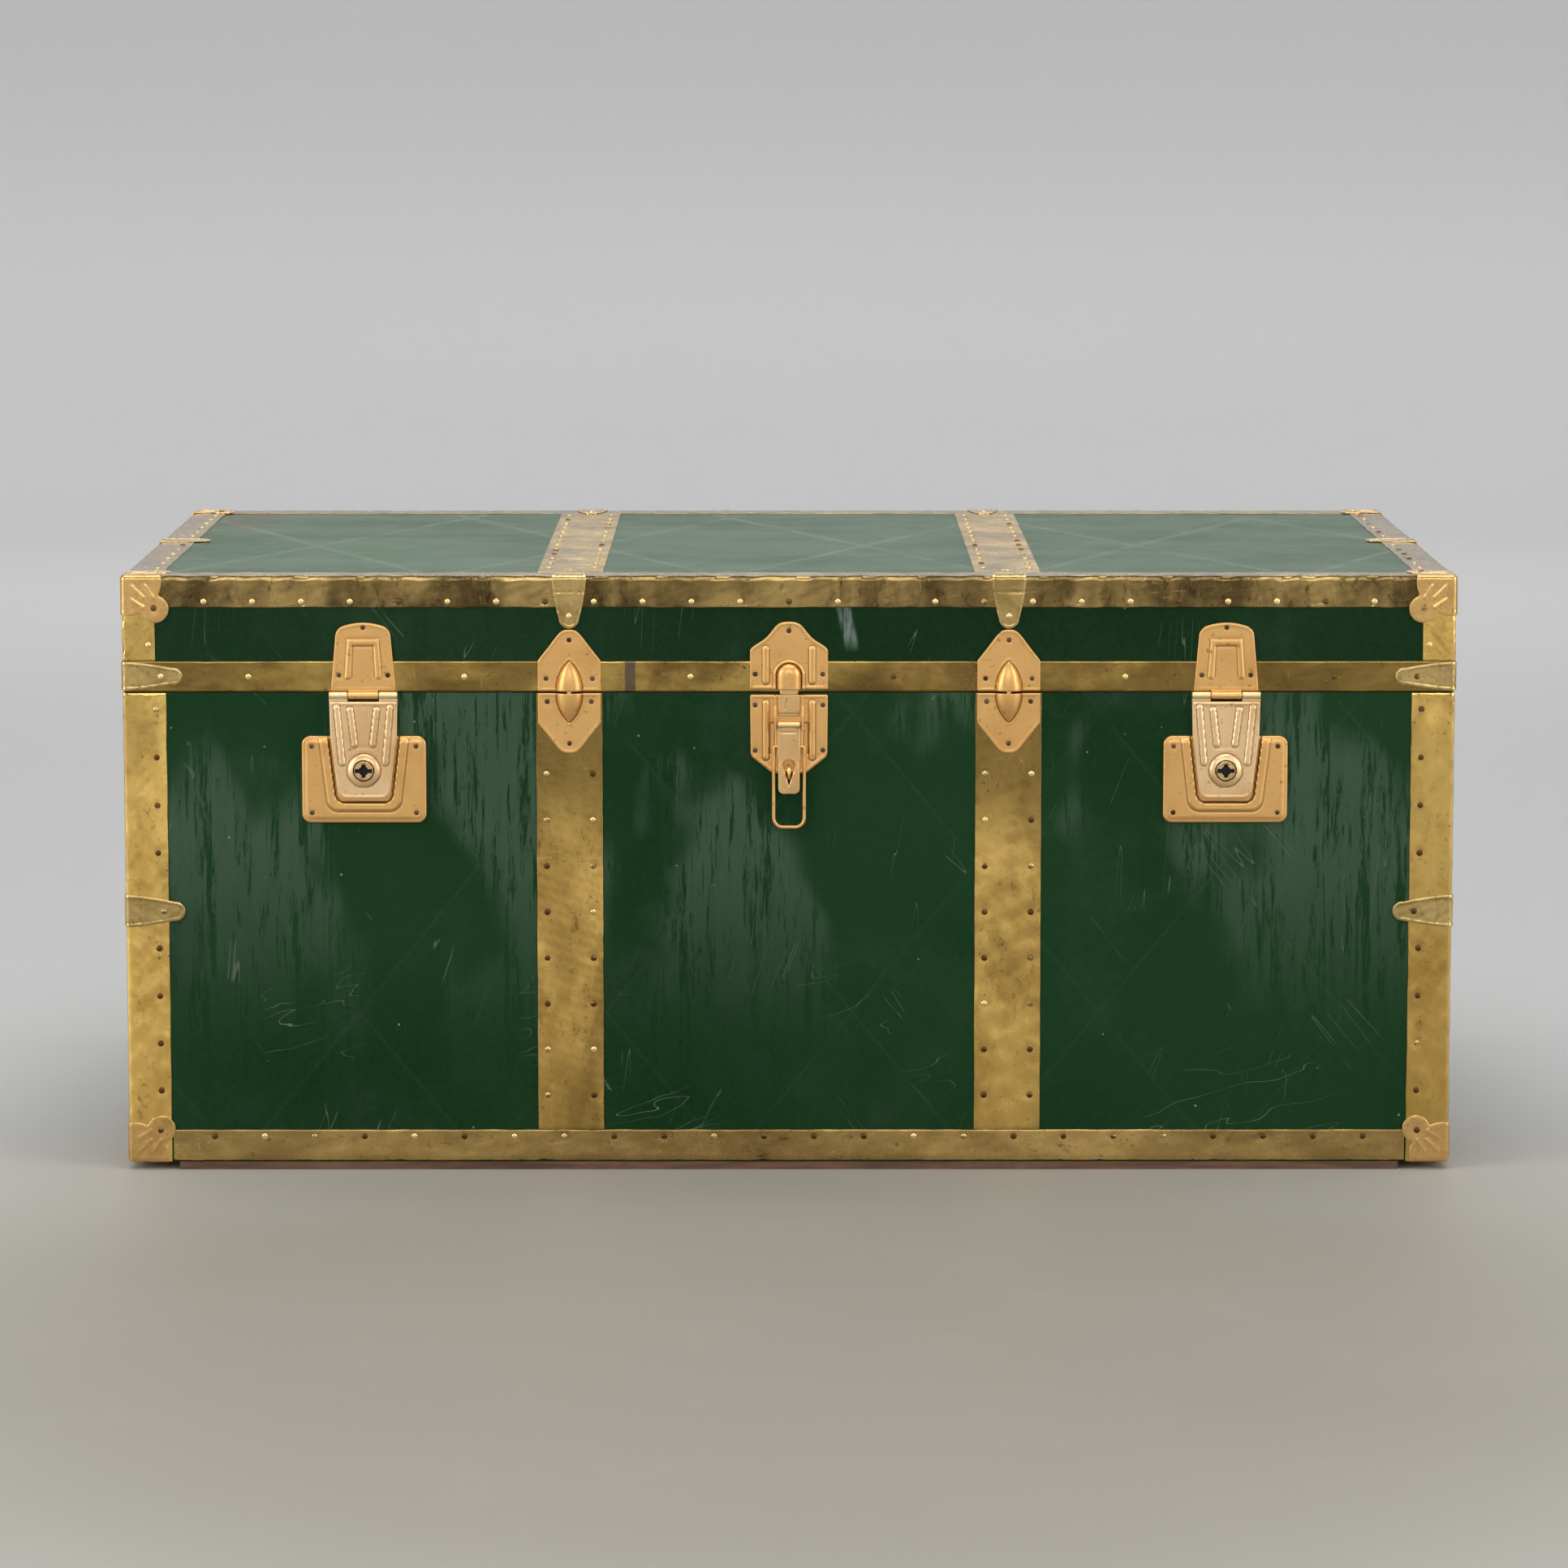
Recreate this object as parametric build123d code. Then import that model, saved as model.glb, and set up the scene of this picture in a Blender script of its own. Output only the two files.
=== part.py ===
from build123d import *
import math
import os

# Footlocker: a boarded trunk with a sheet skin, brass bindings, two draw locks,
# a padlock hasp, two dowels, drop handles and a lid on three rear hinges.
# Millimetres. X is the width, the front faces -Y, Z is up, and Z = 0 is the
# underside of the wooden runners.

# ---- case ----------------------------------------------------------------
WIDTH = 1150.0              # over the brass bindings
DEPTH = 660.0               # over the brass bindings
HEIGHT = 520.0              # floor to the top of the lid's bindings
SEAM_Z = 419.0              # line where lid and body meet
SEAM_GAP = 1.0
RUNNER_H = 7.0
BOARD = 10.0
SKIN = 0.8
TRIM = 1.0                  # brass sheet
LINING = 0.8

# ---- bindings ------------------------------------------------------------
BODY_ANGLE_W = 38.0         # legs of the upright corner angles
LID_ANGLE_W = 29.0
TOP_STRIP_H = 28.0          # leg of the lid's top edge strips on the faces
TOP_STRIP_W = 33.0          # leg of the same strips on the top
RIM_STRIP_H = 26.5
BOTTOM_STRIP_H = 28.6
BACK_STRIP_H = 27.0
STRAP_W = 57.5
STRAP_X = 189.5
CAP_T = 1.0
CLAMP_W = 30.0
CLAMP_LEG = 45.0

# ---- locks, hasp and dowels ----------------------------------------------
LOCK_CENTRES = (-367.0, 377.0)
LOCK_BASE_W = 108.0
LOCK_BASE_H = 76.0
LOCK_BASE_Z = 343.4         # middle of the base plate
TONGUE_TOP_W = 59.2
TONGUE_LOW_W = 48.2
TONGUE_BOTTOM_Z = 326.3
TONGUE_AXIS_Z = 416.6
TONGUE_AXIS_OUT = 4.4
BOSS_Z = 351.5
BOSS_R = 14.0
PLUG_R = 8.3
HASP_W = 67.4
LEVER_AXIS_Z = 391.2
LEVER_AXIS_OUT = 6.6
BAIL_AXIS_Z = 372.0
BAIL_AXIS_OUT = 4.6
BAIL_WIRE_R = 1.6
BAIL_HALF_W = 13.2
BAIL_BOTTOM_Z = 301.9
EYE_Z = 350.0
EYE_OUT = 12.4
EYE_R = 3.2
EYE_T = 2.6
DOWEL_W = 54.4

# ---- hinges, stays and handles -------------------------------------------
HINGE_X = (-STRAP_X, 0.0, STRAP_X)
HINGE_OUT = 4.9             # pin axis, outward from the skin
KNUCKLE_R = 3.6
KNUCKLE_L = 12.0
PIN_R = 1.8
STAY_D = 200.0              # stay anchors, forward of the hinge axis
STAY_H = 50.0               # and above or below it
HANDLE_Z = 300.0            # pivot axis of the drop handles
HANDLE_OUT = 9.0
HANDLE_HALF_L = 46.0
HANDLE_DROP = 46.0
FIT = 0.3                   # gap round anything that turns

# ---- derived -------------------------------------------------------------
HX = WIDTH / 2
HY = DEPTH / 2
SX = HX - TRIM              # outer faces of the skin
SY = HY - TRIM
SZ = HEIGHT - TRIM
BX = SX - SKIN              # outer faces of the boards
BY = SY - SKIN
BZ = SZ - SKIN
IX = BX - BOARD             # inner faces of the boards
IY = BY - BOARD
BODY_Z0 = RUNNER_H + TRIM
BODY_Z1 = SEAM_Z - SEAM_GAP / 2
LID_Z0 = SEAM_Z + SEAM_GAP / 2
RIM_Z1 = LID_Z0 + RIM_STRIP_H
BOTTOM_Z1 = RUNNER_H + BOTTOM_STRIP_H
TOP_Z0 = HEIGHT - TOP_STRIP_H
FRONT_PROUD = EYE_OUT + EYE_R + 2.0 - TRIM
BACK_PROUD = HINGE_OUT + KNUCKLE_R - TRIM
CASE_Y = (FRONT_PROUD - BACK_PROUD) / 2

os.makedirs("parts", exist_ok=True)


def save(name, shapes):
    """Write one node; the case is set back so the whole part is centred on Y."""
    items = list(shapes) if isinstance(shapes, (list, tuple)) else [shapes]
    solids = [s for item in items for s in item.solids()]
    moved = [Pos(0, CASE_Y, 0) * s for s in solids]
    export_step(moved[0] if len(moved) == 1 else Compound(children=moved), f"parts/{name}.step")


def block(x0, x1, y0, y1, z0, z1):
    """Box between two corners."""
    return Pos((x0 + x1) / 2, (y0 + y1) / 2, (z0 + z1) / 2) * Box(x1 - x0, y1 - y0, z1 - z0)


def face_plane(side, out=0.0):
    """Plane parallel to a face of the case, `out` outward from the skin.
    On the upright faces the local y is the height Z."""
    if side == "front":
        return Plane(origin=(0, -SY - out, 0), x_dir=(1, 0, 0), z_dir=(0, -1, 0))
    if side == "back":
        return Plane(origin=(0, SY + out, 0), x_dir=(-1, 0, 0), z_dir=(0, 1, 0))
    if side == "right":
        return Plane(origin=(SX + out, 0, 0), x_dir=(0, 1, 0), z_dir=(1, 0, 0))
    if side == "left":
        return Plane(origin=(-SX - out, 0, 0), x_dir=(0, -1, 0), z_dir=(-1, 0, 0))
    if side == "under":
        return Plane(origin=(0, 0, BODY_Z0 - out), x_dir=(1, 0, 0), z_dir=(0, 0, -1))
    return Plane(origin=(0, 0, SZ + out), x_dir=(1, 0, 0), z_dir=(0, 0, 1))


def plate(side, sketch, out0, out1):
    """Sketch on a face, extruded from out0 to out1."""
    return extrude(face_plane(side, out0) * sketch, amount=out1 - out0)


def front_turned(profile, x, z):
    """Turned piece whose axis points out of the front at (x, z); the profile
    is (radius, out) points."""
    wire = Polyline(*[(r, o) for r, o in profile], close=True)
    body = revolve(make_face(Plane.XZ * wire), Axis.Z)
    return Location(face_plane("front")) * Pos(x, z, 0) * body


def rod_x(x0, x1, out, z, radius, side="front"):
    """Round rod along X in front of the front face, or behind the back."""
    y = -(SY + out) if side == "front" else SY + out
    return Pos((x0 + x1) / 2, y, z) * Rot(0, 90, 0) * Cylinder(radius, abs(x1 - x0))


def mirror_x(shape):
    return mirror(shape, Plane.YZ)


def four_corners(shape):
    """A shape at (+X, +Y) and its three mirror images."""
    right = [shape, mirror(shape, Plane.XZ)]
    return right + [mirror_x(s) for s in right]


# ---- nails ---------------------------------------------------------------
def nail_head(radius=2.8, height=1.2):
    """Domed head with a flat underside."""
    ball = (radius ** 2 + height ** 2) / (2 * height)
    mid_r = radius * 0.55
    mid_h = math.sqrt(ball ** 2 - mid_r ** 2) - (ball - height)
    arc = ThreePointArc((radius, 0), (mid_r, mid_h), (0, height))
    outline = Plane.XZ * (arc + Line((0, height), (0, 0)) + Line((0, 0), (radius, 0)))
    return revolve(make_face(outline), Axis.Z)


NAIL = nail_head()
TACK = nail_head(2.2, 0.8)


def nails_on(side, points, out, head=NAIL):
    base = Location(face_plane(side, out))
    return [base * Pos(u, v, 0) * head for u, v in points]


def row(start, stop, count):
    return [start + (stop - start) * i / (count - 1) for i in range(count)]


# ---- boards, skins and linings -------------------------------------------
save("front_board", block(-IX, IX, -BY, -IY, BODY_Z0, BODY_Z1))
save("back_board", block(-IX, IX, IY, BY, BODY_Z0, BODY_Z1))
save("left_end_board", block(-BX, -IX, -BY, BY, BODY_Z0, BODY_Z1))
save("right_end_board", block(IX, BX, -BY, BY, BODY_Z0, BODY_Z1))
save("bottom_board", block(-IX, IX, -IY, IY, BODY_Z0, BODY_Z0 + BOARD))
save("body_skin", block(-SX, SX, -SY, SY, BODY_Z0, BODY_Z1) - block(-BX, BX, -BY, BY, 0, SEAM_Z))

LIP_Z0 = SEAM_Z - 35.0
LIP_Z1 = SEAM_Z + 10.0
LIP_T = 4.0
floor_z = BODY_Z0 + BOARD
tray = block(-IX, IX, -IY, IY, floor_z, LIP_Z0)
tray_room = block(-IX + LINING, IX - LINING, -IY + LINING, IY - LINING, floor_z + LINING, SEAM_Z)
save("body_lining", tray - tray_room)
lip_low = block(-IX, IX, -IY, IY, LIP_Z0, BODY_Z1)
lip_high = block(-IX + 1.2, IX - 1.2, -IY + 1.2, IY - 1.2, BODY_Z1, LIP_Z1)
lip_room = block(-IX + LIP_T, IX - LIP_T, -IY + LIP_T, IY - LIP_T, 0, SEAM_Z * 2)
save("lip_frame", lip_low + lip_high - lip_room)

runner_x = HX - 44.0
runner = block(-runner_x, runner_x, 0, 42, 0, RUNNER_H)
save("bottom_runners", [Pos(0, y, 0) * runner for y in (-HY + 1.5, -21, HY - 43.5)])

lid_top_z = BZ - BOARD
save("lid_top_board", block(-BX, BX, -BY, BY, lid_top_z, BZ))
save("lid_front_rail", block(-IX, IX, -BY, -IY, LID_Z0, lid_top_z))
save("lid_back_rail", block(-IX, IX, IY, BY, LID_Z0, lid_top_z))
save("lid_left_rail", block(-BX, -IX, -BY, BY, LID_Z0, lid_top_z))
save("lid_right_rail", block(IX, BX, -BY, BY, LID_Z0, lid_top_z))
save("lid_skin", block(-SX, SX, -SY, SY, LID_Z0, SZ) - block(-BX, BX, -BY, BY, 0, BZ))
hood = block(-IX, IX, -IY, IY, LIP_Z1 + 2, lid_top_z)
hood_room = block(-IX + LINING, IX - LINING, -IY + LINING, IY - LINING, 0, lid_top_z - LINING)
save("lid_lining", hood - hood_room)


# ---- brass bindings ------------------------------------------------------
def angle_z(leg, z0, z1):
    """Upright angle on the (+X, +Y) edge."""
    return block(HX - leg, HX, HY - leg, HY, z0, z1) - block(0, SX, 0, SY, 0, 2 * HEIGHT)


save("body_corner_angles", four_corners(angle_z(BODY_ANGLE_W, RUNNER_H, BODY_Z1)))
save("lid_corner_angles", four_corners(angle_z(LID_ANGLE_W, RIM_Z1, TOP_Z0)))

inner_x = HX - BODY_ANGLE_W
inner_y = HY - BODY_ANGLE_W
long_low = block(-inner_x, inner_x, SY, HY, RUNNER_H, BOTTOM_Z1)
long_low += block(-inner_x, inner_x, HY - 28, HY, RUNNER_H, BODY_Z0)
end_low = block(SX, HX, -inner_y, inner_y, RUNNER_H, BOTTOM_Z1)
end_low += block(HX - 28, HX, -inner_y, inner_y, RUNNER_H, BODY_Z0)
strap_in = STRAP_X - STRAP_W / 2
strap_out = STRAP_X + STRAP_W / 2
back_z0 = BODY_Z1 - BACK_STRIP_H
back_strips = [
    block(-inner_x, -strap_out, SY, HY, back_z0, BODY_Z1),
    block(-strap_in, strap_in, SY, HY, back_z0, BODY_Z1),
    block(strap_out, inner_x, SY, HY, back_z0, BODY_Z1),
]
save("body_edge_strips", [long_low, mirror(long_low, Plane.XZ), end_low, mirror_x(end_low)] + back_strips)

strap = block(-STRAP_W / 2, STRAP_W / 2, SY, HY, BOTTOM_Z1, BODY_Z1)
straps = [Pos(x, 0, 0) * s for x in (-STRAP_X, STRAP_X) for s in (strap, mirror(strap, Plane.XZ))]
save("body_straps", straps)

rim = block(-HX, HX, -HY, HY, LID_Z0, RIM_Z1) - block(-SX, SX, -SY, SY, 0, HEIGHT)
save("lid_rim_strip", rim)

top_inner_y = HY - TOP_STRIP_W
top_long = block(-HX, HX, SY, HY, TOP_Z0, HEIGHT) + block(-HX, HX, top_inner_y, HY, SZ, HEIGHT)
top_end = block(SX, HX, -SY, SY, TOP_Z0, SZ) + block(HX - TOP_STRIP_W, HX, -top_inner_y, top_inner_y, SZ, HEIGHT)
save("lid_top_strips", [top_long, mirror(top_long, Plane.XZ), top_end, mirror_x(top_end)])

lid_strap = block(-STRAP_W / 2, STRAP_W / 2, -top_inner_y, top_inner_y, SZ, HEIGHT)
save("lid_straps", [Pos(x, 0, 0) * lid_strap for x in (-STRAP_X, STRAP_X)])


# ---- stamped corner caps -------------------------------------------------
def cap_sketch():
    """Fan-shaped flap with a round nail lobe; the case corner is at (0, 0)."""
    fan = Polygon(
        (0, 0), (30.5, 0), (33.5, 4), (34.8, 10), (33.5, 17), (29, 29),
        (17, 33.5), (10, 34.8), (4, 33.5), (0, 30.5), align=None,
    )
    return fan + Pos(29, 29) * Circle(12.2)


def rib_bar(x0, y0, x1, y1, width):
    """Rounded bar between two points."""
    return Pos((x0 + x1) / 2, (y0 + y1) / 2) * Rot(0, 0, math.degrees(math.atan2(y1 - y0, x1 - x0))) * SlotOverall(
        math.hypot(x1 - x0, y1 - y0) + width, width)


CAP_RIBS = ((7, 19.5, 19.5, 25.8), (7.5, 7.5, 16.5, 16.5), (19.5, 7, 25.8, 19.5))


def corner_cap():
    """Three flaps over a corner at the origin, the case lying in -X -Y -Z."""
    flap = cap_sketch()
    shell = Part()
    ribs = [rib_bar(*r, 2.4) for r in CAP_RIBS]
    frames = (
        Plane(origin=(0, 0, 0), x_dir=(-1, 0, 0), z_dir=(0, 0, 1)),
        Plane(origin=(0, 0, 0), x_dir=(0, -1, 0), z_dir=(1, 0, 0)),
        Plane(origin=(0, 0, 0), x_dir=(0, 0, -1), z_dir=(0, 1, 0)),
    )
    for frame in frames:
        shell += extrude(frame * flap, amount=-CAP_T)
        for rib in ribs:
            shell += extrude(frame * rib, amount=0.6)
    return shell


cap = corner_cap()
cap_top = Pos(HX + CAP_T, HY + CAP_T, HEIGHT + CAP_T) * cap
cap_low = Pos(HX + CAP_T, HY + CAP_T, RUNNER_H - CAP_T) * mirror(cap, Plane.XY)
save("lid_corner_caps", four_corners(cap_top))
save("body_corner_caps", four_corners(cap_low))


# ---- edge clamps ---------------------------------------------------------
def tongue_sketch(width, length):
    """Tapered tongue with a round end, from the edge at y = 0 to y = length."""
    tip = width * 0.36
    root = Polygon(
        (-width / 2, -CAP_T), (width / 2, -CAP_T), (tip, length - tip), (-tip, length - tip), align=None,
    )
    return root + Pos(0, length - tip) * Circle(tip)


def clamp(width, leg):
    """Tongues on two faces that meet along X: one lies on top (+Z) and runs to
    -Y, the other lies on +Y and runs to -Z. The case edge is the origin."""
    sketch = tongue_sketch(width, leg)
    flat = extrude(Plane(origin=(0, 0, 0), x_dir=(-1, 0, 0), z_dir=(0, 0, 1)) * sketch, amount=CAP_T)
    upright = extrude(Plane(origin=(0, 0, 0), x_dir=(1, 0, 0), z_dir=(0, 1, 0)) * sketch, amount=CAP_T)
    return flat + upright


clamp_long = clamp(CLAMP_W, CLAMP_LEG)
clamp_upright = clamp(CLAMP_W * 0.95, CLAMP_LEG + 6)
top_clamp = Pos(STRAP_X, HY, HEIGHT) * clamp_long
end_clamp = Pos(HX, 0, HEIGHT) * Rot(0, 0, -90) * clamp_long
edge_turn = Rot(0, 90, 0)
lid_low_clamp = Pos(HX, HY, LID_Z0 + RIM_STRIP_H / 2) * edge_turn * clamp(RIM_STRIP_H - 1, CLAMP_LEG + 6)
body_mid_clamp = Pos(HX, HY, 228.0) * edge_turn * clamp_upright
save("lid_edge_clamps", four_corners(top_clamp) + [end_clamp, mirror_x(end_clamp)] + four_corners(lid_low_clamp))
save("body_edge_clamps", four_corners(body_mid_clamp))


# ---- draw locks ----------------------------------------------------------
def tongue_half_width(z):
    """Half width of the tapering tongue at height z."""
    upper = (TONGUE_AXIS_Z - z) / (TONGUE_AXIS_Z - 384.0)
    lower = (384.0 - z) / (384.0 - 336.5)
    if z > 384.0:
        return TONGUE_TOP_W / 2 - 0.6 * upper
    return TONGUE_TOP_W / 2 - 0.6 - (TONGUE_TOP_W / 2 - 0.6 - TONGUE_LOW_W / 2) * lower


def tongue_outline(grow, z_top, z_bottom, corner):
    """Tongue outline grown sideways by `grow`, with rounded lower corners."""
    low = tongue_half_width(z_bottom) + grow
    mid = tongue_half_width(384.0) + grow
    high = tongue_half_width(z_top) + grow
    shape = Polygon((-low, z_bottom), (low, z_bottom), (mid, 384.0), (high, z_top), (-high, z_top), (-mid, 384.0), align=None)
    return fillet(shape.vertices().sort_by(Axis.Y)[0:2], corner)


def u_band(grow_out, grow_in, bottom_out, bottom_in, z_top):
    outer = tongue_outline(grow_out, z_top, bottom_out, 10)
    inner = tongue_outline(grow_in, z_top + 1, bottom_in, 9)
    return outer - inner


def lock_base():
    """Pressed base plate with a raised U band round the tongue's recess."""
    outline = Pos(0, LOCK_BASE_Z) * RectangleRounded(LOCK_BASE_W, LOCK_BASE_H, 8)
    base = plate("front", outline, 0, 4.4)
    base = chamfer(base.faces().sort_by(Axis.Y)[0].edges(), 2.4)
    band = u_band(10.0, 3.0, 316.0, 322.5, 379.0)
    base += plate("front", band, 4.0, 5.6)
    recess = tongue_outline(3.0, 384.5, 322.5, 9)
    base -= plate("front", recess, 2.2, 9)
    base -= plate("front", Pos(0, BOSS_Z) * Rectangle(16, 7), 0.8, 9)
    return base


def lock_tongue():
    """Hinged tongue with pressed ribs and the domed boss of the lock."""
    body = plate("front", tongue_outline(0, 411.5, TONGUE_BOTTOM_Z, 8), 3.4, 5.2)
    body = fillet(body.faces().sort_by(Axis.Y)[0].edges().filter_by(lambda e: e.center().Z < 410), 0.8)
    ear_x0 = 13.5
    ear_x1 = TONGUE_TOP_W / 2
    for sign in (-1, 1):
        centre = sign * (ear_x0 + ear_x1) / 2
        ear = Pos(centre, -(SY + 4.3), (TONGUE_AXIS_Z + 411) / 2) * Box(ear_x1 - ear_x0, 1.8, TONGUE_AXIS_Z - 411)
        body += ear + rod_x(sign * ear_x0, sign * ear_x1, TONGUE_AXIS_OUT, TONGUE_AXIS_Z, 3.2)
        for x_top, x_low, z_top, z_low in ((24.5, 19.5, 402, 354), (11.2, 8.0, 401, 374)):
            rib = rib_bar(sign * x_top, z_top, sign * x_low, z_low, 3.2)
            body += fillet_top(plate("front", rib, 5.0, 6.1), 0.7)
    body += fillet_top(plate("front", rib_bar(-7.0, 371, 7.0, 371, 2.6), 5.0, 5.8), 0.5)
    dome = [(0, 4.0), (BOSS_R, 4.0), (BOSS_R, 5.6), (13.2, 7.4), (11.2, 9.0), (9.2, 9.8), (0, 9.8)]
    body += front_turned(dome, 0, BOSS_Z)
    body -= front_turned([(0, 0), (PLUG_R + FIT, 0), (PLUG_R + FIT, 12), (0, 12)], 0, BOSS_Z)
    pin_room = rod_x(-40, 40, TONGUE_AXIS_OUT, TONGUE_AXIS_Z, 1.5 + FIT)
    return body - pin_room


def fillet_top(solid, radius):
    """Round the outermost edges of a raised front feature."""
    return fillet(solid.faces().sort_by(Axis.Y)[0].edges(), radius)


def lock_plug():
    """Turning plug with a cross-shaped keyhole."""
    plug = front_turned([(0, 3.0), (PLUG_R, 3.0), (PLUG_R, 9.0), (PLUG_R - 0.5, 9.5), (0, 9.5)], 0, BOSS_Z)
    slot = Rectangle(15.0, 3.6) + Rectangle(3.6, 11.5) + Circle(4.2)
    return plug - plate("front", Pos(0, BOSS_Z) * slot, 5.0, 12)


def lock_top_plate():
    """Tapering plate on the lid with the middle knuckle below its edge."""
    z_low = 419.9
    z_high = 479.4
    half_low = 28.1
    half_high = 23.4
    curve = ThreePointArc((-half_high, 474.0), (0, z_high), (half_high, 474.0))
    lines = Polyline((half_high, 474.0), (half_low, z_low), (-half_low, z_low), (-half_high, 474.0))
    outline = make_face(curve + lines)
    outline = fillet(outline.vertices().sort_by(Axis.Y)[-2:], 6)
    full = plate("front", outline, 0, 2.8)
    full = fillet(full.faces().sort_by(Axis.Y)[0].edges(), 1.0)
    full -= block(-40, 40, -HY, -SY, 0, RIM_Z1 + 0.2)
    frame_out = Polygon((-14.4, 431), (14.4, 431), (12.2, 463.5), (-12.2, 463.5), align=None)
    frame_in = Polygon((-10.8, 430), (10.8, 430), (9.4, 460.5), (-9.4, 460.5), align=None)
    full += plate("front", frame_out - frame_in, 2.6, 3.6)
    web = Pos(0, -(SY + 2.9), 418.6) * Box(26, 3.0, 4.4)
    full += web + rod_x(-13, 13, TONGUE_AXIS_OUT, TONGUE_AXIS_Z, 3.2)
    return full - rod_x(-40, 40, TONGUE_AXIS_OUT, TONGUE_AXIS_Z, 1.5)


base = lock_base()
tongue = lock_tongue()
plug = lock_plug()
top_plate = lock_top_plate()
lock_pin = rod_x(-TONGUE_TOP_W / 2, TONGUE_TOP_W / 2, TONGUE_AXIS_OUT, TONGUE_AXIS_Z, 1.5)
for side, x in zip(("left", "right"), LOCK_CENTRES):
    save(f"lock_base_{side}", Pos(x, 0, 0) * base)
    save(f"lock_tongue_{side}", Pos(x, 0, 0) * tongue)
    save(f"lock_plug_{side}", Pos(x, 0, 0) * plug)
save("lock_top_plates", [Pos(x, 0, 0) * top_plate for x in LOCK_CENTRES])
save("lock_pins", [Pos(x, 0, 0) * lock_pin for x in LOCK_CENTRES])


# ---- padlock hasp --------------------------------------------------------
def ogee_outline(half, z_edge, z_shoulder, z_tip):
    """Plate outline: straight sides to the shoulder, then an ogee to the tip.
    z_tip above z_edge gives an upward plate, below it a downward one."""
    up = 1 if z_tip > z_edge else -1
    rise = abs(z_tip - z_shoulder)
    right = [(half, z_shoulder), (half * 0.90, z_shoulder + up * rise * 0.17),
             (half * 0.64, z_shoulder + up * rise * 0.39), (half * 0.46, z_shoulder + up * rise * 0.66),
             (half * 0.26, z_shoulder + up * rise * 0.91)]
    left = [(-x, z) for x, z in reversed(right)]
    curve = Spline(*right, (0, z_tip), *left)
    lines = Polyline(left[-1], (-half, z_edge), (half, z_edge), right[0])
    return make_face(curve + lines)


def arch(half, z_edge, z_tip):
    """Arch open at z_edge with a round end at z_tip, either way up."""
    up = 1 if z_tip > z_edge else -1
    spring = z_tip - up * half
    rect = Pos(0, (z_edge + spring) / 2) * Rectangle(2 * half, abs(spring - z_edge))
    frame = Pos(0, (z_edge + z_tip) / 2) * Rectangle(2 * half, abs(z_tip - z_edge))
    return (rect + Pos(0, spring) * Circle(half)) & frame


def bullet(half, z_edge, z_tip, out0, out1):
    """Solid half-round dome with a round end, on the front face."""
    return fillet_top(plate("front", arch(half, z_edge, z_tip), out0, out1), min(3.6, half * 0.5))


def keeper_hollow(half, z_edge, z_tip, out1):
    """Room inside a keeper, open at z_edge."""
    return plate("front", arch(half - 1.3, z_edge, z_tip - 1.3), 1.6, out1 - 1.3)


def hasp_keeper():
    """Lid plate with the domed keeper over the hook."""
    z_low = 421.4
    full = plate("front", ogee_outline(HASP_W / 2, z_low, 456.0, 480.2), 0, 2.6)
    full -= block(-40, 40, -HY, -SY, 0, RIM_Z1 + 0.2)
    full += plate("front", arch(13.2, z_low, 446.4) - arch(11.2, z_low - 1, 444.4), 2.4, 3.8)
    full += bullet(9.9, z_low, 443.6, 2.0, 8.2)
    for x in (-19.8, 19.8):
        full += fillet_top(plate("front", rib_bar(x, 429, x, 456, 4.4), 2.4, 3.6), 0.9)
    return full - keeper_hollow(9.9, z_low - 1, 443.6, 8.2)


def hasp_base():
    """Body plate with the lever's cheeks and two sunk side pockets."""
    z_high = 417.0
    half = HASP_W / 2
    low = Polygon((half, z_high), (-half, z_high), (-half + 0.6, 364), (-half + 3, 360.2),
                  (-16.0, 348.0), (16.0, 348.0), (half - 3, 360.2), (half - 0.6, 364), align=None)
    full = plate("front", low, 0, 2.2)
    full = chamfer(full.faces().sort_by(Axis.Y)[0].edges().filter_by(lambda e: abs(e.center().Z) < 410), 0.6)
    for x in (-19.6, 19.6):
        full += fillet_top(plate("front", rib_bar(x, 363, x, 409, 4.4), 2.0, 3.4), 0.9)
    for x in (-14.1, 14.1):
        full -= plate("front", Pos(x, 379) * Rectangle(5.0, 28), 1.3, 4)
    for x in (-11.9, 11.9):
        full += plate("front", Pos(x, 401.5) * Rectangle(1.8, 31), 2.0, 8.4)
    for x in (-7.3, 7.3):
        full += plate("front", Pos(x, BAIL_AXIS_Z) * Rectangle(4.6, 6.8), 2.0, 5.6)
    full -= rod_x(-20, 20, LEVER_AXIS_OUT, LEVER_AXIS_Z, 1.4)
    return full - rod_x(-40, 40, BAIL_AXIS_OUT - 0.6, BAIL_AXIS_Z, BAIL_WIRE_R + 0.2)


def hasp_lever():
    """Lever with a drop-shaped slot that passes over the padlock eye."""
    z_top = 394.8
    bottom = 331.3
    outline = arch(9.8, z_top, bottom)
    body = plate("front", outline, 6.0, 8.0)
    body += rod_x(-9.8, 9.8, LEVER_AXIS_OUT, LEVER_AXIS_Z, 3.0)
    drop = Pos(0, 355.6) * Circle(5.0) + Polygon((-4.9, 354.6), (0, 338.6), (4.9, 354.6), align=None)
    body -= plate("front", drop, 0, 20)
    return body - rod_x(-20, 20, LEVER_AXIS_OUT, LEVER_AXIS_Z, 1.3 + FIT)


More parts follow.
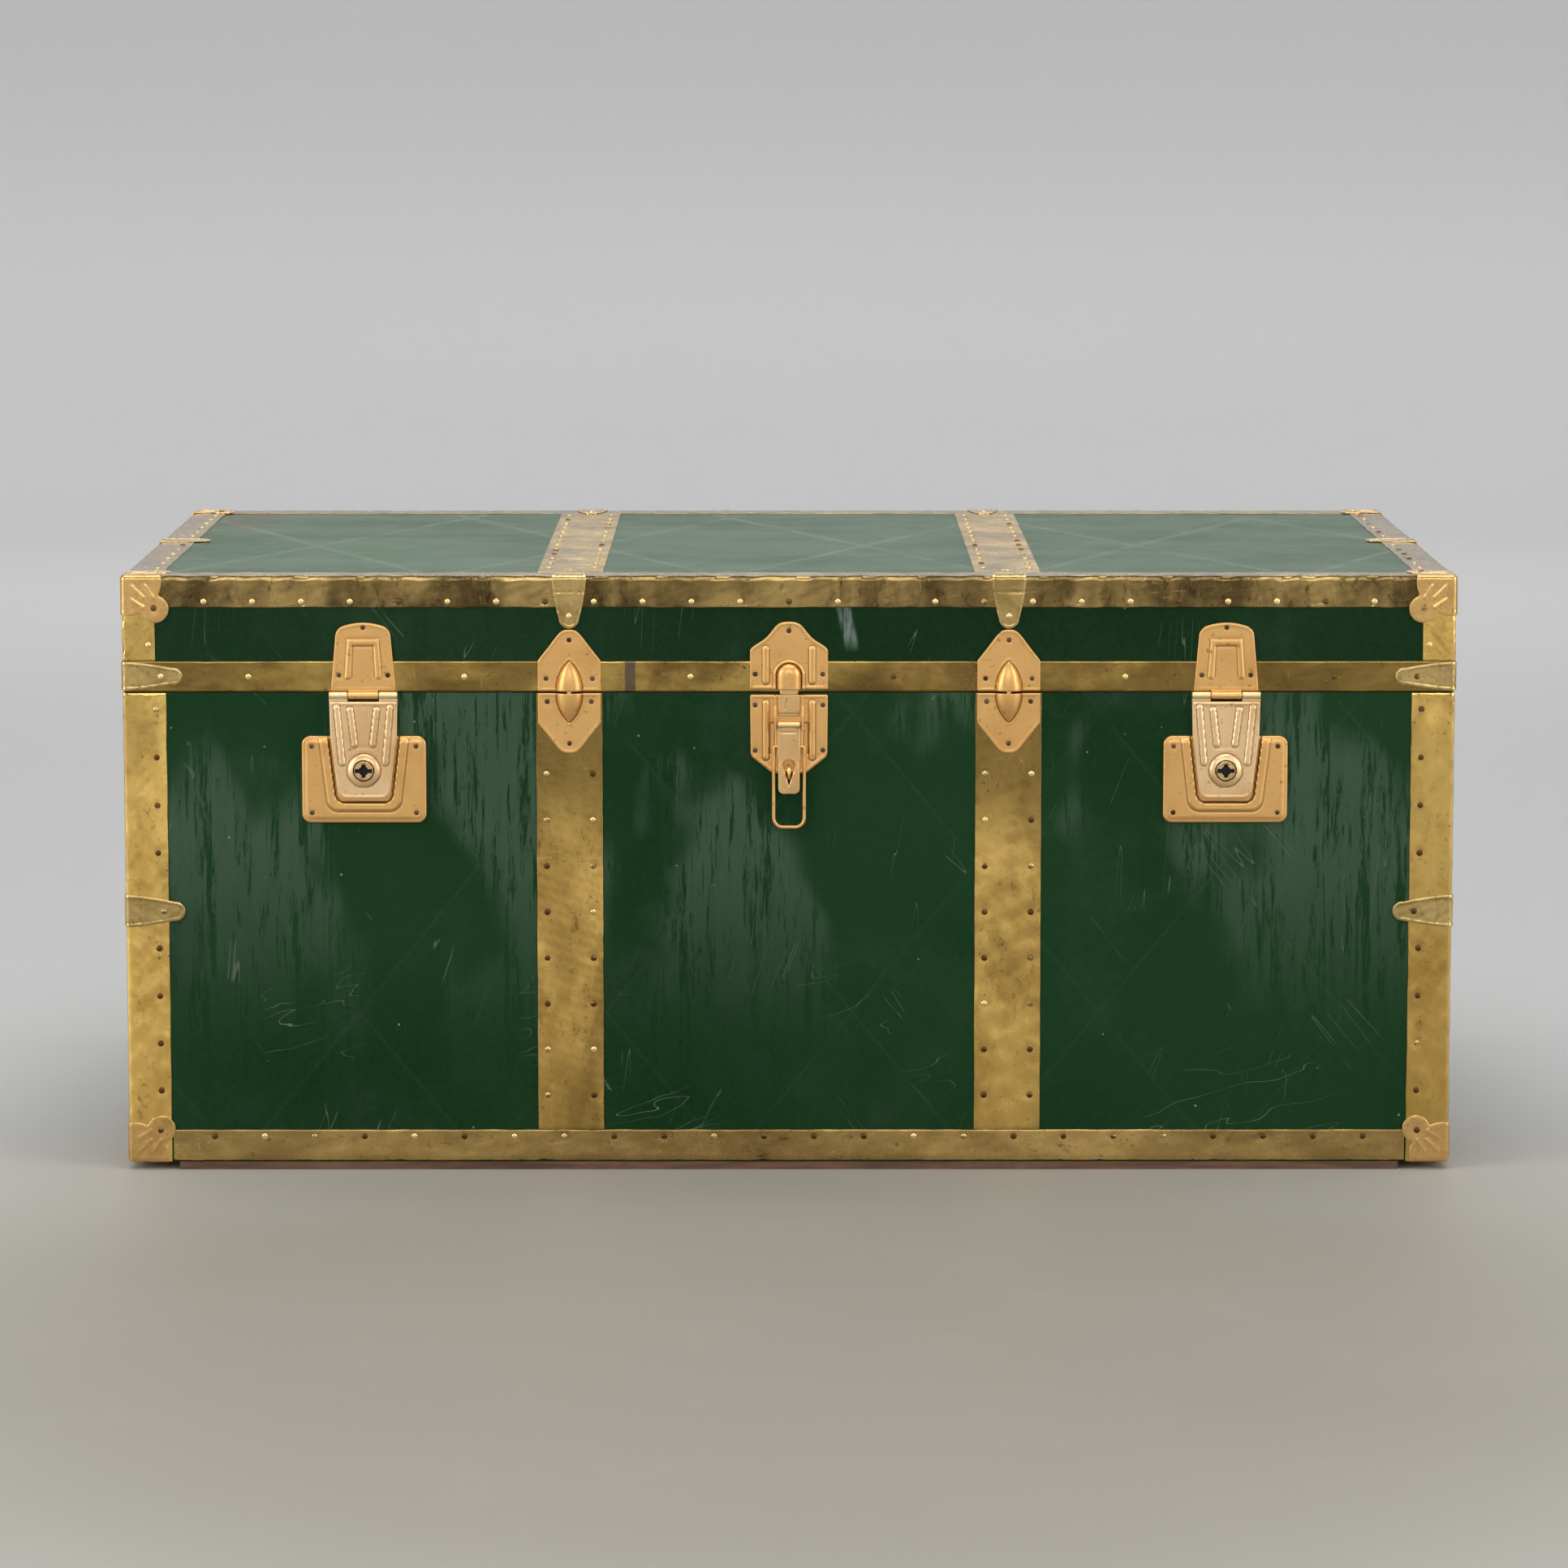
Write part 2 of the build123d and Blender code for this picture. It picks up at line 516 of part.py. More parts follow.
def hasp_bail():
    """Wire loop hanging round the lever, its ends turned in under the cheeks."""
    out = BAIL_AXIS_OUT - 0.6
    y = -(SY + out)
    r = 8.0
    xc = BAIL_HALF_W
    z_low = BAIL_BOTTOM_Z
    end = 6.0
    path = FilletPolyline(
        (-end, y, BAIL_AXIS_Z), (-xc, y, BAIL_AXIS_Z), (-xc, y, z_low), (xc, y, z_low),
        (xc, y, BAIL_AXIS_Z), (end, y, BAIL_AXIS_Z), radius=(1.9, r, r, 1.9),
    )
    start = Plane(origin=(-end, y, BAIL_AXIS_Z), z_dir=(-1, 0, 0))
    return sweep(start * Circle(BAIL_WIRE_R), path=path)


def padlock_eye():
    """Lug through the lever's slot, with a round hole across the case."""
    y0 = -(SY + 2.2)
    y1 = -(SY + EYE_OUT)
    lug = block(-EYE_T / 2, EYE_T / 2, y1, y0, EYE_Z - 5.4, EYE_Z + 5.4)
    lug += Pos(0, y1, EYE_Z) * Rot(0, 90, 0) * Cylinder(EYE_R + 2.0, EYE_T)
    return lug - Pos(0, y1, EYE_Z) * Rot(0, 90, 0) * Cylinder(EYE_R, 10)


def hasp_hook():
    """Bent hook that stands in the channel and ends inside the keeper."""
    foot = plate("front", Pos(0, 408.0) * Rectangle(19.4, 18.6), 2.2, 5.4)
    tip = plate("front", Pos(0, 420.5) * Rectangle(16.0, 8.0), 2.4, 5.4)
    return foot + tip


save("hasp_keeper", hasp_keeper())
save("hasp_base", hasp_base())
save("hasp_lever", hasp_lever())
save("hasp_bail", hasp_bail())
save("padlock_eye", padlock_eye())
save("hasp_hook", hasp_hook())
save("lever_pin", rod_x(-12.8, 12.8, LEVER_AXIS_OUT, LEVER_AXIS_Z, 1.3))


# ---- dowels --------------------------------------------------------------
def dowel_upper():
    z_low = 421.4
    full = plate("front", ogee_outline(DOWEL_W / 2, z_low, 446.0, 473.4), 0, 2.4)
    full -= block(-40, 40, -HY, -SY, 0, RIM_Z1 + 0.2)
    full += bullet(10.2, z_low, 445.6, 2.0, 8.6)
    return full - keeper_hollow(10.2, z_low - 1, 445.6, 8.6)


def dowel_lower():
    z_high = 417.0
    full = plate("front", ogee_outline(DOWEL_W / 2, z_high, 392.4, 365.8), 1.0, 2.4)
    full += bullet(10.2, z_high, 393.9, 2.0, 8.6)
    pin = Pos(0, -(SY + 4.6), 422.5) * (Cylinder(2.2, 13) + Pos(0, 0, 6.5) * Sphere(2.2))
    return full + pin


upper = dowel_upper()
lower = dowel_lower()
save("dowels_upper", [Pos(x, 0, 0) * upper for x in (-STRAP_X, STRAP_X)])
save("dowels_lower", [Pos(x, 0, 0) * lower for x in (-STRAP_X, STRAP_X)])


# ---- rear hinges ---------------------------------------------------------
def hinge_leaf(direction, knuckles):
    """Leaf on the back face, up (+1) on the lid or down (-1) on the body."""
    width = 5 * KNUCKLE_L
    y0 = SY + TRIM
    z0 = SEAM_Z + direction * (KNUCKLE_R + 0.6)
    z1 = SEAM_Z + direction * 26.0
    leaf = block(-width / 2, width / 2, y0, y0 + 1.2, min(z0, z1), max(z0, z1))
    for index in knuckles:
        x0 = -width / 2 + index * KNUCKLE_L + 0.15
        x1 = x0 + KNUCKLE_L - 0.3
        zk = SEAM_Z + direction * (KNUCKLE_R + 1.0)
        zs = SEAM_Z + direction * 0.6
        leaf += block(x0, x1, y0, y0 + 1.2, min(zs, zk), max(zs, zk))
        leaf += rod_x(x0, x1, HINGE_OUT, SEAM_Z, KNUCKLE_R, "back")
    return leaf - rod_x(-60, 60, HINGE_OUT, SEAM_Z, PIN_R + (FIT if direction > 0 else 0), "back")


leaf_body = hinge_leaf(-1, (0, 2, 4))
leaf_lid = hinge_leaf(1, (1, 3))
hinge_pin = rod_x(-2.5 * KNUCKLE_L, 2.5 * KNUCKLE_L, HINGE_OUT, SEAM_Z, PIN_R, "back")
save("hinge_leaves_body", [Pos(x, 0, 0) * leaf_body for x in HINGE_X])
save("hinge_leaves_lid", [Pos(x, 0, 0) * leaf_lid for x in HINGE_X])
save("hinge_pins", [Pos(x, 0, 0) * hinge_pin for x in HINGE_X])


# ---- lid stays -----------------------------------------------------------
# Each stay is a rhombus with the hinge axis: its two arms are as long as the
# anchors are far from that axis, so the elbow closes at every lid angle.
AXIS_Y = SY + HINGE_OUT
STAY_Y = AXIS_Y - STAY_D
ELBOW_Y = AXIS_Y - 2 * STAY_D
WALL_X = IX - LINING
LOWER_X = IX - LIP_T - 2.5
UPPER_X = LOWER_X - 2.5
ARM_T = 2.0
RIVET_R = 2.2


def disc_x(radius, x0, x1, y, z):
    return Pos((x0 + x1) / 2, y, z) * Rot(0, 90, 0) * Cylinder(radius, abs(x1 - x0))


def stay_arm(x, z_anchor):
    """Flat bar with round ends from an anchor to the elbow."""
    length = math.hypot(STAY_D, STAY_H)
    tilt = math.degrees(math.atan2(SEAM_Z - z_anchor, ELBOW_Y - STAY_Y))
    frame = Plane(origin=(x - ARM_T / 2, 0, 0), x_dir=(0, 1, 0), z_dir=(1, 0, 0))
    mid = Pos((STAY_Y + ELBOW_Y) / 2, (z_anchor + SEAM_Z) / 2) * Rot(0, 0, tilt)
    return extrude(frame * (mid * SlotCenterToCenter(length, 13)), amount=ARM_T)


def stay_bracket(z, arm_x):
    """Wall plate with the anchor rivet of one arm."""
    plate_x = WALL_X - 1.5
    foot = block(plate_x, WALL_X, STAY_Y - 22, STAY_Y + 22, z - 11, z + 11)
    foot += disc_x(6.0, arm_x + ARM_T / 2 + FIT, plate_x, STAY_Y, z)
    foot += disc_x(RIVET_R, arm_x - 2.0, plate_x, STAY_Y, z)
    return foot + disc_x(4.6, arm_x - 2.4, arm_x - ARM_T / 2 - FIT, STAY_Y, z)


def rivet_hole(x, y, z):
    return disc_x(RIVET_R + FIT, x - 3, x + 3, y, z)


low_z = SEAM_Z - STAY_H
high_z = SEAM_Z + STAY_H
arm_low = stay_arm(LOWER_X, low_z) - rivet_hole(LOWER_X, STAY_Y, low_z)
arm_low += disc_x(RIVET_R, UPPER_X - 2.0, LOWER_X, ELBOW_Y, SEAM_Z)
arm_low += disc_x(4.6, UPPER_X - 2.4, UPPER_X - ARM_T / 2 - FIT, ELBOW_Y, SEAM_Z)
arm_high = stay_arm(UPPER_X, high_z) - rivet_hole(UPPER_X, STAY_Y, high_z)
arm_high -= rivet_hole(UPPER_X, ELBOW_Y, SEAM_Z)
bracket_low = stay_bracket(low_z, LOWER_X)
bracket_high = stay_bracket(high_z, UPPER_X)
save("stay_lower_right", arm_low)
save("stay_lower_left", mirror_x(arm_low))
save("stay_upper_right", arm_high)
save("stay_upper_left", mirror_x(arm_high))
save("stay_brackets_body", [bracket_low, mirror_x(bracket_low)])
save("stay_brackets_lid", [bracket_high, mirror_x(bracket_high)])


# ---- drop handles --------------------------------------------------------
def handle_plate():
    """End plate with two lugs that hold the handle's ends."""
    outline = Pos(0, HANDLE_Z) * RectangleRounded(2 * HANDLE_HALF_L + 34, 34, 10)
    full = plate("right", outline, 0, 1.6)
    full = chamfer(full.faces().sort_by(Axis.X)[-1].edges(), 0.5)
    for sign in (-1, 1):
        y = sign * (HANDLE_HALF_L + 4.5)
        lug = block(SX + 1.2, SX + HANDLE_OUT, y - 4, y + 4, HANDLE_Z - 6.5, HANDLE_Z + 6.5)
        lug += Pos(SX + HANDLE_OUT, y, HANDLE_Z) * Rot(90, 0, 0) * Cylinder(6.5, 8)
        full += lug
    bore = Pos(SX + HANDLE_OUT, 0, HANDLE_Z) * Rot(90, 0, 0) * Cylinder(3.5 + FIT, 4 * HANDLE_HALF_L)
    return full - bore


def handle_bail():
    """Round bar handle with a thicker grip."""
    x = SX + HANDLE_OUT
    z_low = HANDLE_Z - HANDLE_DROP
    end_y = HANDLE_HALF_L + 8.0
    side_y = HANDLE_HALF_L - 4.0
    path = FilletPolyline(
        (x, -end_y, HANDLE_Z), (x, -side_y, HANDLE_Z), (x, -side_y, z_low),
        (x, side_y, z_low), (x, side_y, HANDLE_Z), (x, end_y, HANDLE_Z), radius=(5, 12, 12, 5),
    )
    bar = sweep(Plane(origin=(x, -end_y, HANDLE_Z), z_dir=(0, 1, 0)) * Circle(3.5), path=path)
    half = 26.0
    grip_line = Polyline((0, -half), (5.0, -half), (6.4, -half + 3), (6.4, half - 3), (5.0, half), (0, half), close=True)
    grip = revolve(make_face(Plane.XY * grip_line), Axis.Y)
    return bar + Pos(x, 0, z_low) * grip


right_plate = handle_plate()
right_bail = handle_bail()
save("handle_plates", [right_plate, mirror_x(right_plate)])
save("handle_right", right_bail)
save("handle_left", mirror_x(right_bail))


# ---- nails in the bindings -----------------------------------------------
front_low_x = [x for x in row(-500, 500, 24)]
strap_z = row(66, 348, 8)
strap_cols = [sx + dx for sx in (-STRAP_X, STRAP_X) for dx in (-20, 20)]
angle_z_rows = [z for z in row(70, 404, 9) if abs(z - 228) > 22]
body_nails = []
for side in ("front", "back"):
    body_nails += nails_on(side, [(x, 29.5) for x in front_low_x], TRIM)
    body_nails += nails_on(side, [(x, z) for x in strap_cols for z in strap_z], TRIM)
    body_nails += nails_on(side, [(s * (HX - 29), z) for s in (-1, 1) for z in angle_z_rows], TRIM)
for side in ("left", "right"):
    body_nails += nails_on(side, [(y, 29.5) for y in row(-262, 262, 13)], TRIM)
    body_nails += nails_on(side, [(s * (HY - 29), z) for s in (-1, 1) for z in angle_z_rows], TRIM)
for side, half in (("front", HX), ("back", HX), ("left", HY), ("right", HY)):
    body_nails += nails_on(side, [(s * (half + CAP_T - 29), RUNNER_H - CAP_T + 29) for s in (-1, 1)], TRIM + CAP_T)
    body_nails += nails_on(side, [(s * (half - 33.5), 228.0) for s in (-1, 1)], TRIM + CAP_T)
back_rim_x = [x for x in row(-510, 510, 18) if abs(abs(x) - STRAP_X) > 34 and abs(x) > 34]
body_nails += nails_on("back", [(x, back_z0 + 6) for x in back_rim_x], TRIM)
save("body_nails", body_nails)

lid_nails = []
top_front_x = [x for x in row(-504, 504, 25) if abs(abs(x) - STRAP_X) > 20]
rim_x = (-466, -280, -85, 90, 290, 470)
for side in ("front", "back"):
    lid_nails += nails_on(side, [(x, TOP_Z0 + 5.5) for x in top_front_x], TRIM)
    lid_nails += nails_on(side, [(x, LID_Z0 + 13) for x in rim_x], TRIM)
    lid_nails += nails_on(side, [(s * (HX - 23), 460) for s in (-1, 1)], TRIM)
    lid_nails += nails_on(side, [(s * STRAP_X, HEIGHT - 35) for s in (-1, 1)], TRIM + CAP_T)
for side in ("left", "right"):
    lid_nails += nails_on(side, [(y, TOP_Z0 + 5.5) for y in row(-262, 262, 13) if abs(y) > 20], TRIM)
    lid_nails += nails_on(side, [(y, LID_Z0 + 13) for y in (-180, 0, 180)], TRIM)
    lid_nails += nails_on(side, [(s * (HY - 23), 460) for s in (-1, 1)], TRIM)
    lid_nails += nails_on(side, [(0, HEIGHT - 35)], TRIM + CAP_T)
for side, half in (("front", HX), ("back", HX), ("left", HY), ("right", HY)):
    lid_nails += nails_on(side, [(s * (half + CAP_T - 29), HEIGHT + CAP_T - 29) for s in (-1, 1)], TRIM + CAP_T)
    lid_nails += nails_on(side, [(s * (half - 33.5), LID_Z0 + RIM_STRIP_H / 2) for s in (-1, 1)], TRIM + CAP_T)
top_points = [(sx * (HX + CAP_T - 29), sy * (HY + CAP_T - 29)) for sx in (-1, 1) for sy in (-1, 1)]
lid_nails += nails_on("top", top_points, TRIM + CAP_T)
lid_nails += nails_on("top", [(sx * STRAP_X, sy * (HY - 35)) for sx in (-1, 1) for sy in (-1, 1)], TRIM + CAP_T)
lid_nails += nails_on("top", [(sx * (HX - 35), 0) for sx in (-1, 1)], TRIM + CAP_T)
lid_nails += nails_on("top", [(x, y) for x in strap_cols for y in row(-264, 264, 13)], TRIM)
side_rows = [y for y in row(-264, 264, 13) if abs(y) > 20]
lid_nails += nails_on("top", [(s * (HX - 25), y) for s in (-1, 1) for y in side_rows], TRIM)
save("lid_nails", lid_nails)

# ---- nails in the hardware -----------------------------------------------
body_tacks = []
for x in LOCK_CENTRES:
    points = [(x + sx * 45, z) for sx in (-1, 1) for z in (372.4, 314.6)]
    body_tacks += nails_on("front", points, 4.4, TACK)
body_tacks += nails_on("front", [(s * 29.2, z) for s in (-1, 1) for z in (408.0, 368.6)], 2.2, TACK)
for x in (-STRAP_X, STRAP_X):
    body_tacks += nails_on("front", [(x - 19, 411), (x + 19, 411), (x, 374.6)], 2.4, TACK)
for x in HINGE_X:
    body_tacks += nails_on("back", [(x - 20, 400), (x + 20, 400)], TRIM + 1.2, TACK)
for side in ("left", "right"):
    points = [(sy * (HANDLE_HALF_L - 14), HANDLE_Z + sz * 10) for sy in (-1, 1) for sz in (-1, 1)]
    body_tacks += nails_on(side, points, 1.6, TACK)
save("hardware_nails_body", body_tacks)

lid_tacks = []
for x in LOCK_CENTRES:
    lid_tacks += nails_on("front", [(x, 475.2), (x - 21, 434.0), (x + 21, 434.0)], 2.8, TACK)
lid_tacks += nails_on("front", [(0, 472.4), (-29, 434.8), (29, 434.8)], 2.6, TACK)
for x in (-STRAP_X, STRAP_X):
    lid_tacks += nails_on("front", [(x, 464.4), (x - 20, 431), (x + 20, 431)], 2.4, TACK)
for x in HINGE_X:
    lid_tacks += nails_on("back", [(x - 20, 438), (x + 20, 438)], TRIM + 1.2, TACK)
save("hardware_nails_lid", lid_tacks)

print("CASE_Y", CASE_Y, "lid axis y", AXIS_Y + CASE_Y, "stay y", STAY_Y + CASE_Y, "elbow y", ELBOW_Y + CASE_Y)
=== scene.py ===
import math

import bmesh
import bpy
import numpy as np
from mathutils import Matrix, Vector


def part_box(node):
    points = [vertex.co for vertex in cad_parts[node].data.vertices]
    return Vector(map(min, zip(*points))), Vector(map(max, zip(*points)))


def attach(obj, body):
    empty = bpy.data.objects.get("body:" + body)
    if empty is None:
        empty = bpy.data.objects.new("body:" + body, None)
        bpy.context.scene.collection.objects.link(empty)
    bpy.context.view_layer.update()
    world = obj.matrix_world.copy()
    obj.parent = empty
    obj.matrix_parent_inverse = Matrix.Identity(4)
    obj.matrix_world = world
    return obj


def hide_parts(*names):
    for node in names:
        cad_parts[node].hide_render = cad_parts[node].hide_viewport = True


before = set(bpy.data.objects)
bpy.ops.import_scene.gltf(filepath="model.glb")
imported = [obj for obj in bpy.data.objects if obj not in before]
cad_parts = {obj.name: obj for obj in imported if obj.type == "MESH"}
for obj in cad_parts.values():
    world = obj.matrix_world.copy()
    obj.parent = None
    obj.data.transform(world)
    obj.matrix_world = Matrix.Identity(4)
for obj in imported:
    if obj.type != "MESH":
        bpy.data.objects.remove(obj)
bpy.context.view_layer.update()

# All lengths below are in millimetres in the row frame; meshes are scaled to
# metres when they are made.
MM = 0.001


def node_box(node):
    low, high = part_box(node)
    return np.array(low) / MM, np.array(high) / MM


skin_lo, skin_hi = node_box("body_skin")
lid_lo, lid_hi = node_box("lid_skin")
SX = skin_hi[0]
FRONT = skin_lo[1]
BACK = skin_hi[1]
MID_Y = (FRONT + BACK) / 2
SY = (BACK - FRONT) / 2
BODY_Z0 = skin_lo[2]
BODY_Z1 = skin_hi[2]
LID_Z0 = lid_lo[2]
TOP = lid_hi[2]
TRIM = 1.0                  # thickness of the brass bindings
ON_TRIM = TRIM + 0.05       # underside of a plate nailed over a binding
FOLD_R = 2.4                # bend radius of the skin at the case's edges
RIM_Z1 = node_box("lid_rim_strip")[1][2]
TOP_Z0 = node_box("lid_top_strips")[0][2]


# ---- small tools ---------------------------------------------------------
def smooth(x, low, high):
    t = np.clip((x - low) / (high - low), 0.0, 1.0)
    return t * t * (3 - 2 * t)


def ripple(seed, reach):
    """Seeded waviness, about -1 to 1, with the given longest wave in mm."""
    count = 7
    rng = np.random.default_rng(seed)
    turn = rng.uniform(0, 2 * math.pi, (count, 3))
    waves = 2 * math.pi / (reach / rng.uniform(1.0, 6.0, count))
    size = 1 / (1 + np.arange(count) * 0.35)
    size = size / size.sum() * 1.6

    def value(x, y=0.0):
        total = 0.0
        for k in range(count):
            ahead = np.cos(turn[k, 0]) * x + np.sin(turn[k, 0]) * y
            total = total + size[k] * np.sin(waves[k] * ahead + turn[k, 1] * 3)
        return total

    return value


def round_join(a, b, r):
    """Both distances at once, with a corner of radius r where they meet."""
    a, b = a + r, b + r
    return np.hypot(np.maximum(a, 0), np.maximum(b, 0)) + np.minimum(np.maximum(a, b), 0) - r


def sd_box(x, z, half_w, half_h, r):
    return round_join(np.abs(x) - half_w, np.abs(z) - half_h, r)


def sd_segment(x, z, x0, z0, x1, z1):
    dx, dz = x1 - x0, z1 - z0
    t = np.clip(((x - x0) * dx + (z - z0) * dz) / (dx * dx + dz * dz), 0, 1)
    return np.hypot(x - x0 - t * dx, z - z0 - t * dz)


def sd_polygon(x, z, points):
    """Signed distance to a closed polygon, negative inside."""
    nearest = np.full(np.shape(x), 1e9)
    inside = np.zeros(np.shape(x), bool)
    for (x0, z0), (x1, z1) in zip(points, points[1:] + points[:1]):
        nearest = np.minimum(nearest, sd_segment(x, z, x0, z0, x1, z1))
        crossing = (z0 > z) != (z1 > z)
        with np.errstate(divide="ignore", invalid="ignore"):
            at = x0 + (z - z0) * (x1 - x0) / (z1 - z0 if z1 != z0 else 1e-9)
        inside ^= crossing & (x < at)
    return np.where(inside, -nearest, nearest)


def bell(distance, width):
    """Smooth bump that is 1 at no distance."""
    return np.exp(-(distance / width) ** 2)


def ridge(distance, half, height):
    """Half-round raised line."""
    return height * np.sqrt(np.clip(1 - (distance / half) ** 2, 0, 1))


# ---- places on the case --------------------------------------------------
def on_face(side, u0=0.0, v0=0.0):
    """Maps (u, v, out) on one face of the case to the row frame."""
    def place(points, out):
        u, v = points[:, 0] + u0, points[:, 1] + v0
        out = out + 0 * u
        if side == "front":
            return np.stack([u, FRONT - out, v], 1)
        if side == "back":
            return np.stack([-u, BACK + out, v], 1)
        if side == "right":
            return np.stack([SX + out, MID_Y + u, v], 1)
        if side == "left":
            return np.stack([-SX - out, MID_Y - u, v], 1)
        return np.stack([u, MID_Y + v, TOP + out], 1)
    return place


def on_edge(origin, along, into_a, into_b, radius=FOLD_R):
    """Maps (s, t, out) round an edge: t < 0 lies on the face that runs along
    into_a, t > 0 on the face that runs along into_b."""
    origin, along, into_a, into_b = (np.array(v, float) for v in (origin, along, into_a, into_b))
    half = radius * math.pi / 4

    def place(points, out):
        s, t = points[:, :1], points[:, 1:2]
        out = (out + 0 * points[:, 0])[:, None]
        phi = np.clip((t + half) / (2 * half), 0, 1) * math.pi / 2
        normal = -into_b * np.cos(phi) - into_a * np.sin(phi)
        flat_a = np.maximum(-t - half, 0)
        flat_b = np.maximum(t - half, 0)
        return (origin + along * s + (into_a + into_b) * radius + normal * (radius + out)
                + into_a * flat_a + into_b * flat_b)
    return place


FOLD_LOSS = FOLD_R - FOLD_R * math.pi / 4     # a leg of length L reaches t = L - FOLD_LOSS
CORNERS = ((-1, -1), (1, -1), (1, 1), (-1, 1))


def upright_edge(sx, sy):
    return on_edge((sx * SX, MID_Y + sy * SY, 0), (0, 0, 1), (0, -sy, 0), (-sx, 0, 0))


def turned(place):
    """The same place with u and v swapped."""
    return lambda points, out: place(points[:, ::-1], out)


# ---- pressed sheet metal -------------------------------------------------
def slope(outline, points, free):
    step = 0.04
    grad = np.zeros_like(points)
    for k in range(points.shape[1]):
        ahead, behind = points.copy(), points.copy()
        ahead[:, k] += step
        behind[:, k] -= step
        grad[:, k] = (outline(ahead) - outline(behind)) / (2 * step)
    return grad * free(points)


def all_free(points):
    return np.ones_like(points)


def sheet_solid(points, quads, outline, height, place, base=0.0, edge=0.6, drop=None, rings=3, free=all_free,
                dents=None):
    """Closed solid whose top follows `height` over the outline and whose rim
    is rolled down with radius `edge` to the flat underside at `base`."""
    drop = edge if drop is None else drop
    sides = np.concatenate([quads[:, [i, (i + 1) % 4]] for i in range(4)])
    key = np.sort(sides, axis=1)
    code = key[:, 0] * np.int64(len(points) + 1) + key[:, 1]
    _, first, uses = np.unique(code, return_index=True, return_counts=True)
    rim = sides[first[uses == 1]]
    rim_v = np.unique(rim)
    rim_index = np.full(len(points), -1)
    rim_index[rim_v] = np.arange(len(rim_v))
    points = points.copy()
    b = points[rim_v]
    for _ in range(4):
        g = slope(outline, b, free)
        b = b - ((outline(b) + edge) / np.maximum((g * g).sum(1), 0.2))[:, None] * g
    points[rim_v] = b
    g = slope(outline, b, free)
    outward = g / np.maximum(np.linalg.norm(g, axis=1), 1e-6)[:, None]
    level = height(points) + 0 * points[:, 0]
    if dents is not None:
        level = level + dents(place(points, level))
    rim_level = level[rim_v]
    fall = np.minimum(drop, rim_level - base - 0.12)
    layers = [place(points, level)]
    loops = [rim_v]
    total = len(points)
    ring = b
    for j in range(1, rings + 1):
        turn = j / rings * math.pi / 2
        ring = b + outward * edge * math.sin(turn)
        layers.append(place(ring, rim_level - fall * (1 - math.cos(turn))))
        loops.append(np.arange(total, total + len(b)))
        total += len(b)
    layers.append(place(ring, base + 0 * rim_level))
    loops.append(np.arange(total, total + len(b)))
    total += len(b)
    layers.append(place(points, base + 0 * points[:, 0]))
    loops.append(rim_v + total)
    faces = [quads, quads[:, ::-1] + total]
    i, j = rim_index[rim[:, 0]], rim_index[rim[:, 1]]
    for upper, lower in zip(loops[:-1], loops[1:]):
        faces.append(np.stack([upper[j], upper[i], lower[i], lower[j]], 1))
    return outward_faces(np.concatenate(layers), np.concatenate(faces))


def outward_faces(verts, quads):
    a, b, c, d = (verts[quads[:, k]] - verts.mean(0) for k in range(4))
    volume = (np.einsum("ij,ij->i", a, np.cross(b, c)) + np.einsum("ij,ij->i", a, np.cross(c, d))).sum()
    return verts, quads if volume > 0 else quads[:, ::-1]


def grid(bounds, step, outline, inset):
    """Grid of points and the quads whose centres lie inside the outline."""
    step_u, step_v = step if isinstance(step, tuple) else (step, step)
    u0, u1, v0, v1 = bounds
    nu = max(2, round((u1 - u0) / step_u))
    nv = max(2, round((v1 - v0) / step_v))
    u, v = np.meshgrid(np.linspace(u0, u1, nu + 1), np.linspace(v0, v1, nv + 1), indexing="ij")
    points = np.stack([u.ravel(), v.ravel()], 1)
    i, j = (a.ravel() for a in np.meshgrid(np.arange(nu), np.arange(nv), indexing="ij"))
    corner = i * (nv + 1) + j
    quads = np.stack([corner, corner + nv + 1, corner + nv + 2, corner + 1], 1)
    centres = points[quads].mean(1)
    quads = quads[outline(centres) < -inset]
    used = np.unique(quads)
    index = np.full(len(points), -1)
    index[used] = np.arange(len(used))
    return points[used], index[quads]


def pressed(outline, height, place, bounds, step, base=0.0, edge=0.6, drop=None, rings=3, dents=None):
    points, quads = grid(bounds, step, outline, edge)
    return sheet_solid(points, quads, outline, height, place, base, edge, drop, rings, dents=dents)


def lathe(profile, centre, axis, segments=20):
    """Closed turned solid; the profile is (radius, height) from pole to pole."""
    axis = np.array(axis, float)
    side = np.array([0.0, 0.0, 1.0]) if abs(axis[2]) < 0.9 else np.array([1.0, 0.0, 0.0])
    other = np.cross(axis, side)
    turns = np.arange(segments) / segments * 2 * math.pi
    around = np.cos(turns)[:, None] * side + np.sin(turns)[:, None] * other
    verts = np.concatenate([np.array(centre) + axis * h + around * r for r, h in profile])
    k = np.arange(segments)
    n = (k + 1) % segments
    quads = [np.stack([k + i * segments, n + i * segments, n + (i + 1) * segments, k + (i + 1) * segments], 1)
             for i in range(len(profile) - 1)]
    return verts, np.concatenate(quads)


def capped(profile, centre, axis, segments=20):
    """Lathe whose two ends are closed with small flat rings of quads."""
    verts, quads = lathe(profile, centre, axis, segments)
    last = (len(profile) - 1) * segments
    half = segments // 2
    caps = []
    for start, flip in ((0, True), (last, False)):
        for k in range(half - 1):
            face = [start + k, start + k + 1, start + segments - 2 - k, start + segments - 1 - k]
            caps.append(face[::-1] if flip else face)
    return outward_faces(verts, np.concatenate([quads, np.array(caps)]))


